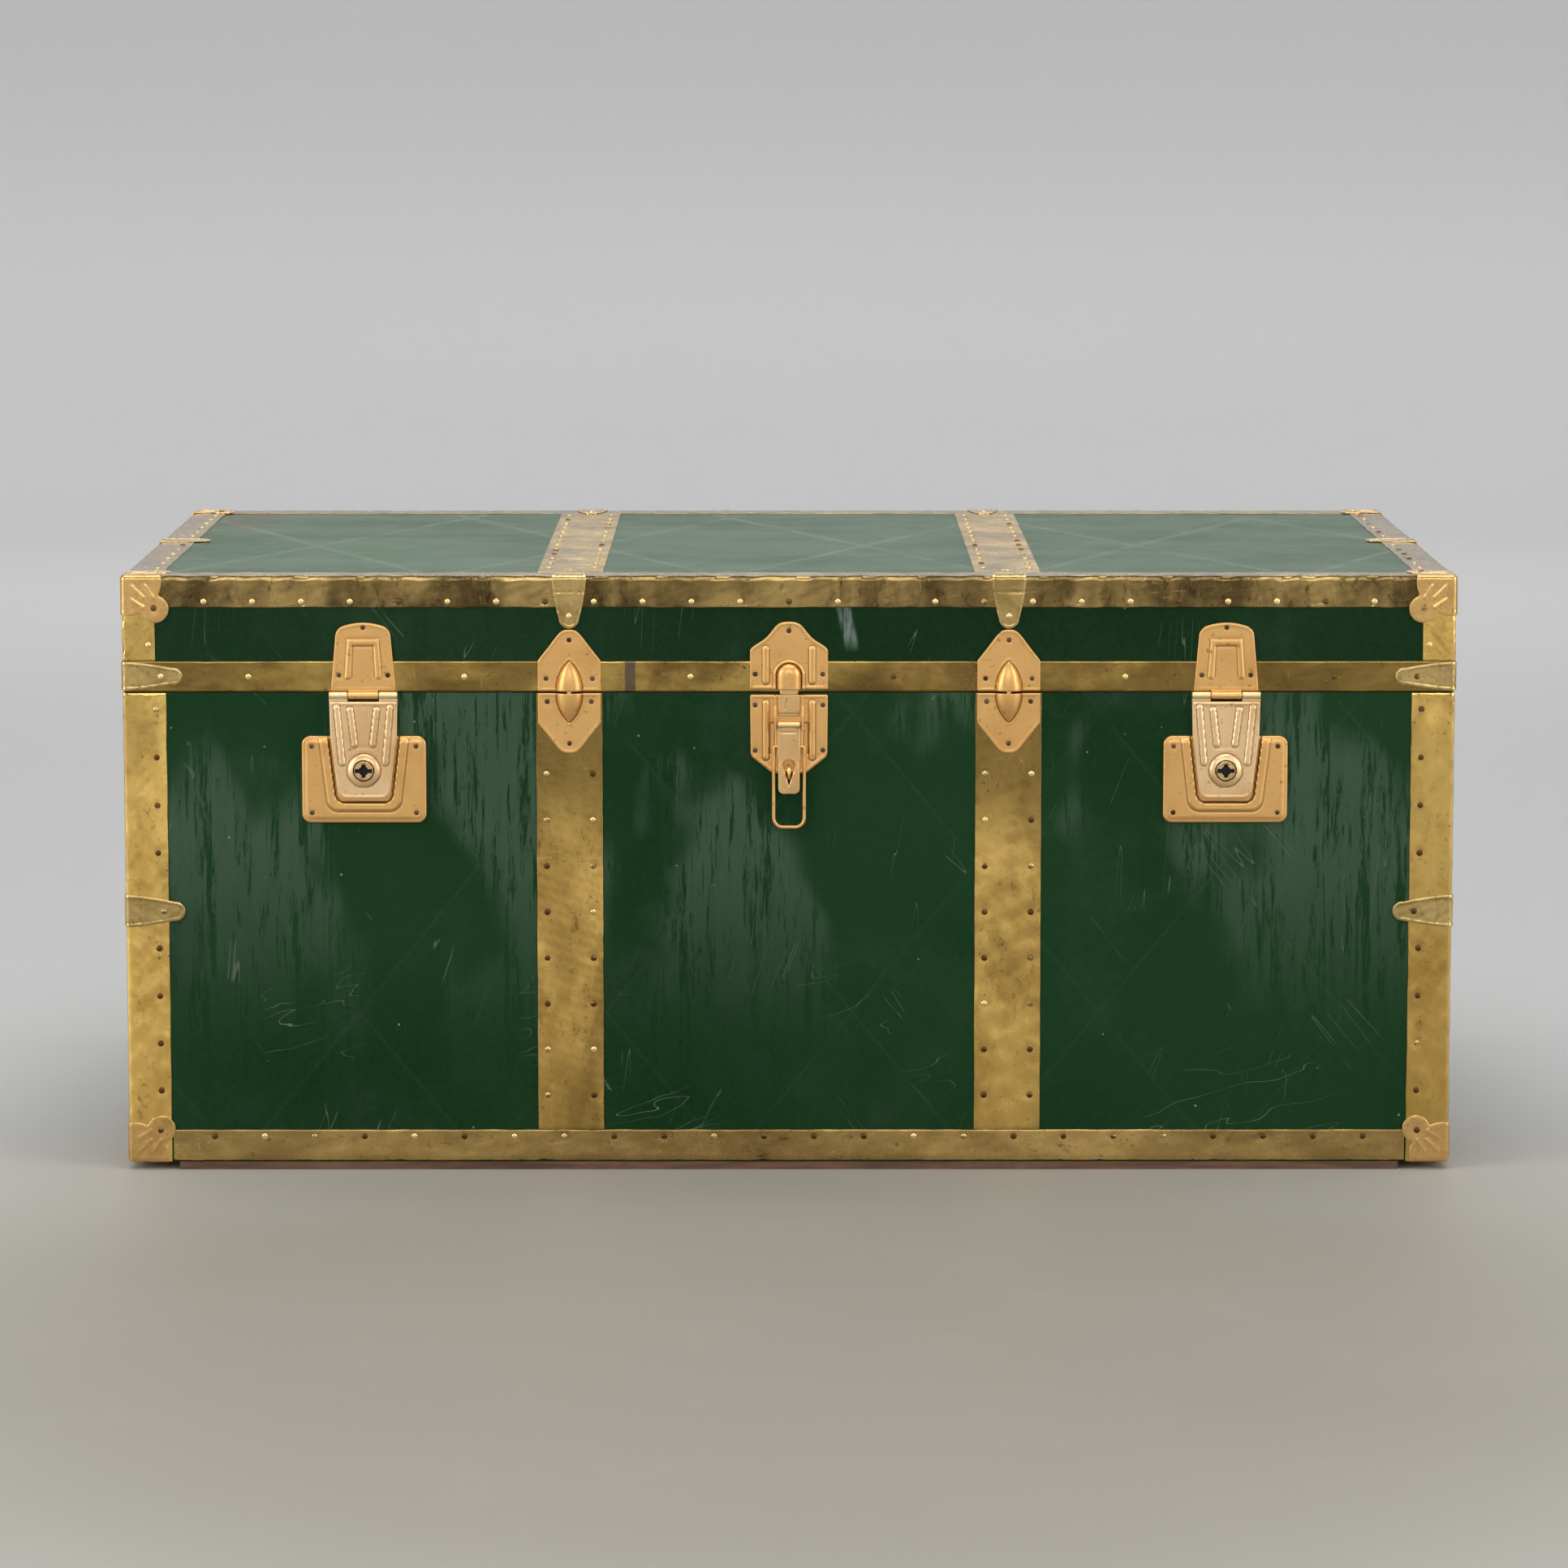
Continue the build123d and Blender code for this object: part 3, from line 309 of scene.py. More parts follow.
def show(name, mesh, material, body, slot, replaced, angle):
    """Links one piece, puts it on the body it rides on and hides the CAD parts it replaces."""
    mesh.polygons.foreach_set("use_smooth", np.ones(len(mesh.polygons), bool))
    mesh.set_sharp_from_angle(angle=math.radians(angle))
    mesh.materials.append(material)
    obj = bpy.data.objects.new(name, mesh)
    bpy.context.scene.collection.objects.link(obj)
    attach(obj, body)
    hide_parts(*replaced)


def piece(name, solids, material, body, slot, replaced, angle=38.0):
    """One Blender object from one or more closed solids."""
    verts, faces, total = [], [], 0
    for v, q in solids:
        verts.append(v)
        faces.append(q + total)
        total += len(v)
    verts, faces = np.concatenate(verts) * MM, np.concatenate(faces)
    mesh = bpy.data.meshes.new(name)
    mesh.vertices.add(len(verts))
    mesh.vertices.foreach_set("co", verts.ravel())
    mesh.loops.add(faces.size)
    mesh.loops.foreach_set("vertex_index", faces.ravel())
    mesh.polygons.add(len(faces))
    mesh.polygons.foreach_set("loop_start", np.arange(len(faces)) * 4)
    mesh.update(calc_edges=True)
    mesh.validate()
    show(name, mesh, material, body, slot, replaced, angle)


# ---- materials -----------------------------------------------------------
class Look:
    """Short names for building one procedural material."""

    def __init__(self, name):
        self.mat = bpy.data.materials.new(name)
        self.mat.use_nodes = True
        self.tree = self.mat.node_tree
        self.tree.nodes.clear()
        self.bsdf = self.add("ShaderNodeBsdfPrincipled")
        out = self.add("ShaderNodeOutputMaterial")
        self.tree.links.new(self.bsdf.outputs[0], out.inputs[0])
        self.place = self.add("ShaderNodeTexCoord").outputs["Object"]
        self.colour = None

    def add(self, kind, **settings):
        node = self.tree.nodes.new(kind)
        for key, value in settings.items():
            setattr(node, key, value)
        return node

    def feed(self, socket, value):
        if isinstance(value, bpy.types.NodeSocket):
            self.tree.links.new(value, socket)
        elif isinstance(value, tuple) and len(value) == 3 and socket.type == "RGBA":
            socket.default_value = (*value, 1.0)
        else:
            socket.default_value = value

    def where(self, stretch=(1, 1, 1), shift=(0, 0, 0), turn=(0, 0, 0)):
        source = self.place
        if any(turn):
            turned = self.add("ShaderNodeMapping")
            self.feed(turned.inputs["Vector"], source)
            turned.inputs["Rotation"].default_value = turn
            source = turned.outputs[0]
        node = self.add("ShaderNodeMapping")
        self.feed(node.inputs["Vector"], source)
        node.inputs["Scale"].default_value = stretch
        node.inputs["Location"].default_value = shift
        return node.outputs[0]

    def noise(self, scale, detail=3.0, rough=0.55, bend=0.0, at=None, **where):
        node = self.add("ShaderNodeTexNoise")
        self.feed(node.inputs["Vector"], at if at is not None else self.where(**where))
        node.inputs["Scale"].default_value = scale
        node.inputs["Detail"].default_value = detail
        node.inputs["Roughness"].default_value = rough
        node.inputs["Distortion"].default_value = bend
        return node.outputs["Fac"]

    def cells(self, scale, **where):
        node = self.add("ShaderNodeTexVoronoi")
        self.feed(node.inputs["Vector"], self.where(**where))
        node.inputs["Scale"].default_value = scale
        return node

    def span(self, value, low, high, to_low=0.0, to_high=1.0):
        node = self.add("ShaderNodeMapRange", interpolation_type="SMOOTHSTEP")
        self.feed(node.inputs[0], value)
        for k, number in enumerate((low, high, to_low, to_high)):
            node.inputs[k + 1].default_value = number
        return node.outputs[0]

    def calc(self, kind, a, b=0.0):
        node = self.add("ShaderNodeMath", operation=kind)
        self.feed(node.inputs[0], a)
        self.feed(node.inputs[1], b)
        return node.outputs[0]

    def times(self, value, *others):
        for other in others:
            value = self.calc("MULTIPLY", value, other)
        return value

    def plus(self, value, *others):
        for other in others:
            value = self.calc("ADD", value, other)
        return value

    def lay(self, paint, *shares):
        """Paints over the colour so far, as strongly as the shares allow."""
        self.colour = self.mix(self.times(*shares), self.colour, paint)

    def mix(self, share, a, b):
        node = self.add("ShaderNodeMix", data_type="RGBA")
        self.feed(node.inputs[0], share)
        self.feed(node.inputs[6], a)
        self.feed(node.inputs[7], b)
        return node.outputs[2]

    def away(self, value, level):
        return self.calc("ABSOLUTE", self.calc("SUBTRACT", value, level))

    def axis(self, name):
        node = self.add("ShaderNodeSeparateXYZ")
        self.feed(node.inputs[0], self.place)
        return node.outputs[name]

    def pointed(self):
        return self.add("ShaderNodeNewGeometry").outputs["Pointiness"]

    def island(self):
        return self.add("ShaderNodeNewGeometry").outputs["Random Per Island"]

    def lines(self, scale, width, **where):
        """Thin wandering lines, such as scratches, where noise crosses a level."""
        away = self.away(self.noise(scale, 2.0, 0.5, **where), 0.5)
        return self.span(away, width * 0.3, width, 1.0, 0.0)

    def finish(self, rough, metal=0.0, bump=None, strength=0.3, distance=0.0004, **fixed):
        self.feed(self.bsdf.inputs["Base Color"], self.colour)
        self.feed(self.bsdf.inputs["Roughness"], rough)
        self.feed(self.bsdf.inputs["Metallic"], metal)
        if bump is not None:
            node = self.add("ShaderNodeBump")
            node.inputs["Strength"].default_value = strength
            node.inputs["Distance"].default_value = distance
            self.feed(node.inputs["Height"], bump)
            self.tree.links.new(node.outputs[0], self.bsdf.inputs["Normal"])
        for key, value in fixed.items():
            self.bsdf.inputs[key.replace("_", " ")].default_value = value
        return self.mat


def shade(colour, times, plus=0.0):
    return tuple(min(1.0, c * times + plus) for c in colour)


def green_paint(name, lid):
    """Old dark green enamel: smears, scratches and chips; the lid's copy is painted darker as painted shade
    and its upward faces lighter as painted top light.
    """
    k = Look(name)
    # The lid's copy of the enamel is painted darker than the body's as painted shade; `light` is that factor.
    light = 0.72 if lid else 1.0
    broad = k.noise(3.4, 3, shift=(4, 1, 0) if lid else (0, 0, 0))
    grain = k.noise(260, 5, 0.7)
    k.colour = k.mix(k.span(broad, 0.35, 0.65), shade((0.0052, 0.0315, 0.0088), light),
                     shade((0.0100, 0.0425, 0.0138), light))
    k.lay((0.022, 0.055, 0.025), k.span(grain, 0.35, 0.75, 0.0, 0.30))

    smear = k.noise(30, 7, 0.76, 0.15, stretch=(5.4, 5.4, 0.36))
    wipe = k.noise(58, 5, 0.78, 0.1, stretch=(1.3, 1.3, 0.16), shift=(7, 0, 3))
    patch = k.noise(4.6, 3, 0.55, stretch=(1.3, 1.0, 0.7), shift=(2.2, 0, 5.1))
    height = 0.06 if lid else k.span(k.axis("Z"), 0.10, 0.30, 0.05, 1.0)
    here = k.times(k.span(patch, 0.46, 0.56), height)
    smears = k.calc("MAXIMUM", k.times(k.span(smear, 0.455, 0.515), here),
                    k.times(k.span(wipe, 0.485, 0.54), k.times(here, 0.9)))
    k.lay((0.055, 0.100, 0.060), smears, 0.80)
    cloud = k.noise(9, 5, 0.68, shift=(1, 3, 2))
    k.lay((0.040, 0.072, 0.044), k.span(cloud, 0.50, 0.78, 0.0, 0.30 * light))

    gate = k.noise(7, 2, 0.5, shift=(9, 2, 1))
    low = k.times(k.span(k.axis("Z"), 0.20, 0.13), k.span(gate, 0.54, 0.60))
    scratch = k.times(k.lines(34, 0.0026, stretch=(0.25, 1.0, 1.1), shift=(3, 5, 1), turn=(0, 0.25, 0)), low)
    for turn, scale, shift in ((1.2, 30, (8, 1, 4)), (-0.9, 26, (2, 6, 4)), (1.5, 40, (4, 2, 9))):
        lines = k.lines(scale, 0.0022, stretch=(0.05, 1.0, 1.0), shift=shift, turn=(0, turn, 0))
        spot = k.span(k.noise(13, 2, 0.5, shift=shift), 0.61, 0.65)
        scratch = k.calc("MAXIMUM", scratch, k.times(lines, spot, 0.6))
    k.lay((0.22, 0.26, 0.20), scratch, 0.55)

    dots = k.cells(62)
    pick = k.add("ShaderNodeSeparateColor")
    k.feed(pick.inputs[0], dots.outputs["Color"])
    speck = k.span(dots.outputs["Distance"], 0.05, 0.075, 1.0, 0.0)
    k.lay((0.26, 0.28, 0.22), speck, k.span(pick.outputs[0], 0.90, 0.93), 0.8)

    groove = k.add("ShaderNodeAttribute", attribute_name="pressed_line").outputs["Fac"]
    broken = k.span(k.noise(20, 4, 0.7, shift=(5, 5, 1)), 0.25, 0.60)
    if lid:
        # Upward faces of the lid are painted lighter: painted top light and sheen, broken up by noise.
        normal = k.add("ShaderNodeSeparateXYZ")
        k.feed(normal.inputs[0], k.add("ShaderNodeNewGeometry").outputs["True Normal"])
        upward = k.span(normal.outputs[2], 0.6, 0.9)
        top_light_mottle = k.span(k.noise(7, 5, 0.65, stretch=(0.6, 1.6, 1)), 0.35, 0.70)
        k.lay((0.078, 0.150, 0.084), upward, k.plus(0.62, k.times(top_light_mottle, 0.38)))
        k.lay((0.22, 0.29, 0.21), groove, broken, upward, 0.50)
        slant = k.plus(k.axis("X"), k.plus(k.times(k.axis("Z"), 0.20), -0.1456))
        k.lay((0.26, 0.33, 0.29), k.span(k.calc("ABSOLUTE", slant), 0.0075, 0.0035),
              k.span(k.axis("Z"), 0.452, 0.470),
              k.span(k.noise(60, 5, 0.7, stretch=(3, 3, 0.3)), 0.35, 0.60),
              k.span(k.axis("Y"), -0.30, -0.31), 0.65)
        k.lay((0.15, 0.085, 0.045), k.span(k.axis("X"), -0.44, -0.52), k.span(k.axis("Y"), 0.02, 0.20),
              k.span(k.noise(30, 5, 0.75), 0.46, 0.58), 0.8)
    else:
        k.lay((0.12, 0.165, 0.115), groove, broken, 0.055)
    rough = k.plus(k.span(cloud, 0.35, 0.75, 0.30, 0.44), k.times(smears, 0.16))
    relief = k.plus(k.times(grain, 0.35), k.plus(k.times(cloud, 0.6), k.times(scratch, -0.25)))
    return k.finish(rough, 0.0, relief, 0.35, 0.0005, Specular_IOR_Level=0.06)


def brass(name, bright, dull, stain, share, stains, rough, rust=0.0, streak=(1, 1, 1), size=14.0,
          worn_edge_highlight=0.0, seed=0.0, darker=None, top_face_highlight=None, tarnish=0.0, patch=None):
    """Thin brass or brassed steel. `share` and `stains` say how much is dull
    and stained, `darker` fades it down a range of heights (metres), a lighter colour can be
    painted along the top face as a painted highlight and `patch` is a mended place on the front."""
    k = Look(name)
    broad = k.noise(size, 5, 0.62, 0.3, stretch=streak, shift=(seed, seed * 2, seed))
    mottled = k.noise(size * 5.5, 7, 0.74, 0.4, stretch=streak, shift=(seed + 3, 1, seed))
    grain = k.noise(520, 4, 0.7)
    spot = k.span(k.plus(k.times(mottled, 0.75), k.times(broad, 0.25)),
                  0.62 - stains * 0.16, 0.72 - stains * 0.10)
    k.colour = k.mix(k.span(broad, share - 0.13, share + 0.13), bright, dull)
    k.lay(stain, spot, 0.85)
    if darker:
        k.lay(shade(dull, 0.36), k.span(k.axis("Z"), darker[0], darker[1]),
              k.span(k.axis("Z"), 0.45, 0.50, darker[2], 0.0))
    if tarnish > 0:
        cloud = k.noise(size * 0.62, 4, 0.6, 0.5, stretch=streak, shift=(seed + 11, 4, seed))
        k.lay(shade(dull, 0.42), k.span(cloud, 0.47, 0.60, 0.0, tarnish))
        for along in ((0.05, 1.0, 1.0), (1.0, 1.0, 0.05)):
            hair = k.lines(95, 0.0035, stretch=along, shift=(seed, 2, 7), turn=(0, 0.12, 0))
            gate = k.noise(24, 3, 0.6, shift=(seed, 8, along[0]))
            k.lay(shade(bright, 1.2, 0.04), hair, k.span(gate, 0.50, 0.62), 0.45)
    dirt = k.noise(210, 6, 0.75, shift=(seed, 5, 2))
    k.lay((0.035, 0.022, 0.012), k.span(dirt, 0.585, 0.66), k.span(mottled, 0.43, 0.57), 0.7)
    value = k.plus(k.span(mottled, 0.3, 0.7, *rough), k.times(spot, 0.08))
    metal = 1.0
    if rust > 0:
        bloom = k.noise(46, 7, 0.78, 0.2, shift=(seed + 5, seed, 3))
        rusty = k.times(k.span(bloom, 0.68 - 0.12 * rust, 0.74 - 0.10 * rust), min(1.0, 0.5 + rust * 0.5))
        k.lay((0.055, 0.026, 0.012), rusty)
        value = k.plus(value, k.times(rusty, 0.3))
        metal = k.calc("SUBTRACT", 1.0, k.times(rusty, 0.75))
    # Convex edges painted lighter: brass rubbed bare there, plus a painted edge highlight.
    if worn_edge_highlight > 0:
        k.lay(shade(bright, 1.25, 0.06), k.span(k.pointed(), 0.515, 0.56), worn_edge_highlight)
    # Painted highlight: the top face of the binding is painted lighter.
    if top_face_highlight:
        k.lay(top_face_highlight, k.span(k.axis("Z"), 0.5186, 0.5192, 0.0, 0.5))
    # Hollows and creases painted darker: grime in them plus painted crease shade.
    k.lay(shade(stain, 0.45), k.span(k.pointed(), 0.494, 0.472), 0.6)
    if patch:
        middle, half = patch
        k.lay((0.135, 0.098, 0.075), k.span(k.away(k.axis("X"), middle), half + 0.0004, half - 0.0004),
              k.span(k.axis("Y"), -0.30, -0.31), 0.85)
    relief = k.plus(k.times(grain, 0.18), k.plus(k.times(mottled, 0.35), k.times(broad, 0.5)))
    return k.finish(value, metal, relief)


def wood(name, dark, light, rough=0.62, scale=9.0):
    k = Look(name)
    figure = k.noise(scale, 6, 0.65, 0.9, stretch=(1, 9, 9))
    fibre = k.noise(scale * 9, 5, 0.7, 0.2, stretch=(1, 9, 9))
    k.colour = k.mix(k.span(figure, 0.32, 0.68), dark, light)
    k.lay(shade(dark, 0.5), k.span(fibre, 0.45, 0.75, 0.0, 0.45))
    value = k.span(k.noise(22, 4, 0.6), 0.3, 0.7, rough - 0.08, rough + 0.10)
    return k.finish(value, 0.0, k.plus(fibre, figure), 0.4, 0.0005)


def lining_paper(name):
    k = Look(name)
    fibre = k.noise(420, 5, 0.7)
    fade = k.noise(26, 5, 0.7, shift=(3, 2, 1))
    k.colour = k.mix(k.span(k.noise(5, 4, 0.6), 0.4, 0.7), (0.50, 0.43, 0.30), (0.36, 0.29, 0.18))
    k.lay((0.58, 0.52, 0.40), k.span(fade, 0.5, 0.8, 0.0, 0.5))
    return k.finish(k.span(fade, 0.3, 0.7, 0.78, 0.92), 0.0, fibre, 0.25, 0.0003)


def steel(name, bright, dark, rough=(0.3, 0.5)):
    k = Look(name)
    mottled = k.noise(40, 6, 0.7, 0.3)
    fine = k.noise(340, 4, 0.7)
    k.colour = k.mix(k.span(mottled, 0.34, 0.66), bright, dark)
    k.lay((0.06, 0.032, 0.018), k.span(fine, 0.55, 0.72), k.span(mottled, 0.5, 0.6))
    return k.finish(k.span(mottled, 0.3, 0.7, *rough), 0.9, k.plus(mottled, fine), 0.25, 0.0003)


def plug_paint(name):
    """Worn brass face; below its rim the keyhole is painted near black as painted shade."""
    k = Look(name)
    mottled = k.noise(90, 6, 0.7, 0.3)
    # Painted shade: deeper than its rim the keyhole is painted near black, less metallic and rougher.
    depth = k.span(k.axis("Y"), (FRONT - 9.1) * MM, (FRONT - 7.6) * MM)
    k.colour = k.mix(k.span(mottled, 0.40, 0.62), (0.84, 0.57, 0.28), (0.50, 0.31, 0.13))
    k.lay((0.012, 0.009, 0.007), depth)
    rough = k.plus(k.span(mottled, 0.3, 0.7, 0.26, 0.44), k.times(depth, 0.35))
    return k.finish(rough, k.calc("SUBTRACT", 1.0, k.times(depth, 0.9)), mottled, 0.2, 0.0003)


def nail_brass(name, bright, dark, share):
    """Every head its own tone, between bright and dark."""
    k = Look(name)
    pick = k.island()
    mottled = k.noise(170, 4, 0.7)
    tone = k.plus(k.times(pick, 0.75), k.times(mottled, 0.5))
    k.colour = k.mix(k.span(tone, share - 0.12, share + 0.12), bright, dark)
    return k.finish(k.span(pick, 0.0, 1.0, 0.2, 0.42), 1.0, mottled, 0.2, 0.0002)


look = {
    "green": green_paint("green_enamel", False),
    "green_lid": green_paint("green_enamel_lid", True),
    # Lid top binding: brown patina, and colours also painted dark for the dark surroundings it reflects
    # (painted reflection).
    "top_strip": brass("patina_dark_reflection_brass", (0.50, 0.34, 0.12), (0.15, 0.10, 0.036), (0.05, 0.032, 0.013),
                       0.50, 0.72, (0.12, 0.32), 0.0, (1.0, 1.0, 0.6), 15.0, seed=1.0,
                       top_face_highlight=(0.62, 0.47, 0.29), tarnish=0.45),
    "rim": brass("olive_brass", (0.50, 0.33, 0.090), (0.27, 0.168, 0.046), (0.11, 0.060, 0.020), 0.52, 0.36,
                 (0.12, 0.30), 0.32, (0.7, 0.7, 1.0), 15.0, seed=2.0, tarnish=0.60, patch=(-0.137, 0.0045)),
    "angle": brass("bright_brass", (1.0, 0.665, 0.195), (0.74, 0.465, 0.118), (0.28, 0.16, 0.05), 0.56, 0.26,
                   (0.12, 0.28), 0.24, (1.0, 1.0, 0.5), 16.0, seed=3.0, tarnish=0.45),
    "low": brass("dull_brass", (0.70, 0.475, 0.17), (0.44, 0.29, 0.10), (0.13, 0.07, 0.028), 0.50, 0.46,
                 (0.18, 0.38), 0.50, (0.5, 0.5, 1.0), 15.0, seed=4.0, tarnish=0.35),
    "strap": brass("strap_brass", (0.95, 0.635, 0.185), (0.56, 0.355, 0.098), (0.15, 0.083, 0.031),
                   0.50, 0.46, (0.14, 0.32), 0.32, (1.0, 1.0, 0.5), 15.0, seed=5.0,
                   darker=(0.25, 0.35, 0.80), tarnish=0.55),
    "cap": brass("cap_brass", (0.77, 0.475, 0.175), (0.60, 0.35, 0.115), (0.32, 0.18, 0.06), 0.58, 0.14,
                 (0.20, 0.36), 0.12, size=20.0, worn_edge_highlight=0.6, seed=6.0),
    "clamp": brass("clamp_brass", (0.62, 0.44, 0.17), (0.42, 0.29, 0.10), (0.17, 0.10, 0.038), 0.52, 0.30,
                   (0.14, 0.30), 0.10, size=34.0, worn_edge_highlight=0.95, seed=11.0),
    "lacquer": brass("gold_lacquer", (0.84, 0.485, 0.175), (0.72, 0.39, 0.12), (0.42, 0.25, 0.10), 0.60, 0.05,
                     (0.34, 0.46), 0.05, size=12.0, worn_edge_highlight=0.35, seed=7.0),
    "tongue": brass("worn_lacquer", (0.98, 0.68, 0.37), (0.86, 0.55, 0.26), (0.26, 0.14, 0.06), 0.54, 0.15,
                    (0.26, 0.42), 0.35, size=14.0, worn_edge_highlight=0.45, seed=8.0),
    "hasp": brass("worn_gilt", (0.88, 0.58, 0.28), (0.74, 0.45, 0.18), (0.34, 0.20, 0.10), 0.52, 0.04,
                  (0.28, 0.40), 0.0, size=9.0, worn_edge_highlight=0.4, seed=9.0),
    "nail": nail_brass("nail_heads", (0.98, 0.72, 0.32), (0.15, 0.080, 0.035), 0.80),
    "old_nail": nail_brass("rusty_nail_heads", (0.98, 0.72, 0.32), (0.12, 0.058, 0.025), 0.44),
    "tack": steel("dark_tacks", (0.17, 0.12, 0.08), (0.05, 0.03, 0.02), (0.35, 0.55)),
    "steel": steel("grey_steel", (0.42, 0.40, 0.37), (0.20, 0.18, 0.16)),
    "plug": plug_paint("plug_brass"),
    "hinge": brass("hinge_brass", (0.55, 0.39, 0.17), (0.40, 0.27, 0.11), (0.16, 0.09, 0.04), 0.5, 0.3,
                   (0.30, 0.48), 0.2, size=24.0, seed=10.0),
    "handle": steel("handle_steel", (0.50, 0.42, 0.30), (0.22, 0.16, 0.10), (0.28, 0.45)),
    "board": wood("pine_board", (0.30, 0.185, 0.09), (0.50, 0.34, 0.18)),
    "lip": wood("lip_wood", (0.36, 0.22, 0.11), (0.52, 0.36, 0.19), rough=0.5),
    "runner": wood("stained_runner", (0.075, 0.034, 0.018), (0.17, 0.085, 0.042), rough=0.55, scale=14.0),
    "paper": lining_paper("lining_paper"),
}


def paint_node(node, key):
    """Gives a CAD node that keeps its shape a procedural material."""
    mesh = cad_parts[node].data
    mesh.materials.clear()
    mesh.materials.append(look[key])


# ---- nails ---------------------------------------------------------------
def islands(node):
    """Centre, size and outward axis of every nail head in a CAD node."""
    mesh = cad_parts[node].data
    co = np.array([v.co for v in mesh.vertices]) / MM
    cell = {}
    parent = list(range(len(co)))

    def root(i):
        while parent[i] != i:
            parent[i] = parent[parent[i]]
            i = parent[i]
        return i

    for i, key in enumerate(map(tuple, np.round(co, 2))):
        if key in cell:
            parent[root(i)] = root(cell[key])
        else:
            cell[key] = i
    for a, b in (e.vertices for e in mesh.edges):
        parent[root(a)] = root(b)
    groups = {}
    for i in range(len(co)):
        groups.setdefault(root(i), []).append(i)
    found = []
    for members in groups.values():
        low, high = co[members].min(0), co[members].max(0)
        size = high - low
        flat = int(np.argmin(size))
        centre = (low + high) / 2
        middle = np.array([0, MID_Y, (BODY_Z0 + TOP) / 2])
        normal = np.zeros(3)
        normal[flat] = 1.0 if centre[flat] > middle[flat] else -1.0
        foot = centre - normal * size[flat] / 2
        found.append((foot, normal, max(size) / 2, size[flat]))
    found.sort(key=lambda n: tuple(np.round(n[0], 1)))
    return found


# body, material slot and look of the nails in each CAD node
NAIL_NODES = {
    "body_nails": ("case", "brass_nail", "old_nail"),
    "lid_nails": ("lid", "brass_nail", "nail"),
    "hardware_nails_body": ("case", "steel_tack", "tack"),
    "hardware_nails_lid": ("lid", "steel_tack", "tack"),
}
nails = {node: islands(node) for node in NAIL_NODES}
nail_feet = np.array([n[0] for node in ("body_nails", "lid_nails") for n in nails[node]])


def nail_piece(node, body, slot, key):
    """Slightly uneven domed heads, sunk a little and tilted, one per CAD nail."""
    rng = np.random.default_rng(len(node) * 7)
    solids = []
    for foot, normal, radius, height in nails[node]:
        grow = rng.uniform(0.90, 1.0)
        r, h = radius * grow, height * rng.uniform(0.86, 1.0)
        tilt = normal + rng.normal(0, 0.045, 3) * (1 - np.abs(normal))
        tilt /= np.linalg.norm(tilt)
        steps = [(r * math.cos(a), 0.1 + (h - 0.1) * math.sin(a))
                 for a in np.linspace(0, math.pi / 2 * 0.93, 6)]
        solids.append(capped([(r * 0.96, 0.0)] + steps, foot, tilt, 14))
    piece(node + "_domes", solids, look[key], body, slot, (node,), angle=50)


for node_name, row in NAIL_NODES.items():
    nail_piece(node_name, *row)


def nail_dents(depth=0.32):
    """Sheet pulled in round each nail, with a slight swell outside it."""
    def dents(where):
        low, high = where.min(0) - 8, where.max(0) + 8
        near = nail_feet[((nail_feet > low) & (nail_feet < high)).all(1)]
        total = np.zeros(len(where))
        for foot in near:
            away = np.linalg.norm(where - foot, axis=1)
            close = away < 16
            r = away[close]
            total[close] += -depth * bell(r, 3.4) + 0.35 * depth * bell(r - 7.0, 2.6)
        return total
    return dents


# ---- enamelled skins with pressed diamond lines --------------------------
FACE_LINE = (2.4, 0.16)      # half width and depth of a line pressed in the faces
TOP_LINE = (7.0, 0.34)       # the same on the top of the lid


def ruled_sheet(width, height, lines, step, half):
    """Flat grid cut along the given lines; returns points (u, v), how much
    each lies in a line (0 to 1) and the faces."""
    bm = bmesh.new()
    nu, nv = max(2, round(width / step)), max(2, round(height / step))
    rows = [[bm.verts.new((width * i / nu, height * j / nv, 0)) for j in range(nv + 1)]
            for i in range(nu + 1)]
    for i in range(nu):
        for j in range(nv):
            bm.faces.new((rows[i][j], rows[i + 1][j], rows[i + 1][j + 1], rows[i][j + 1]))
    for (px, py), (dx, dy) in lines:
        length = math.hypot(dx, dy)
        nx, ny = -dy / length, dx / length
        for side in (-half, 0.0, half):
            bmesh.ops.bisect_plane(bm, geom=bm.verts[:] + bm.edges[:] + bm.faces[:], dist=1e-4,
                                   plane_co=(px + nx * side, py + ny * side, 0), plane_no=(nx, ny, 0))
    bm.verts.index_update()
    points = np.array([v.co[:2] for v in bm.verts])
    faces = [[v.index for v in f.verts] for f in bm.faces]
    bm.free()
    depth = np.zeros(len(points))
    for (px, py), (dx, dy) in lines:
        length = math.hypot(dx, dy)
        away = np.abs((points[:, 0] - px) * -dy / length + (points[:, 1] - py) * dx / length)
        depth = np.maximum(depth, 1 - smooth(away, 0.0, half))
    return points, depth, faces


def lattice(width, height, pitch_u, pitch_v, shift):
    """Both families of slanting lines that cross a sheet."""
    lines = []
    reach = int((width + height * pitch_u / pitch_v) / pitch_u) + 2
    for n in range(-reach, reach + 1):
        lines.append(((n * pitch_u + shift, 0.0), (pitch_u, pitch_v)))
        lines.append(((n * pitch_u + shift, 0.0), (pitch_u, -pitch_v)))
    kept = []
    for (px, py), (dx, dy) in lines:
        ends = sorted((px, px + dx / dy * height))
        if ends[1] > 0 and ends[0] < width:
            kept.append(((px, py), (dx, dy)))
    return kept


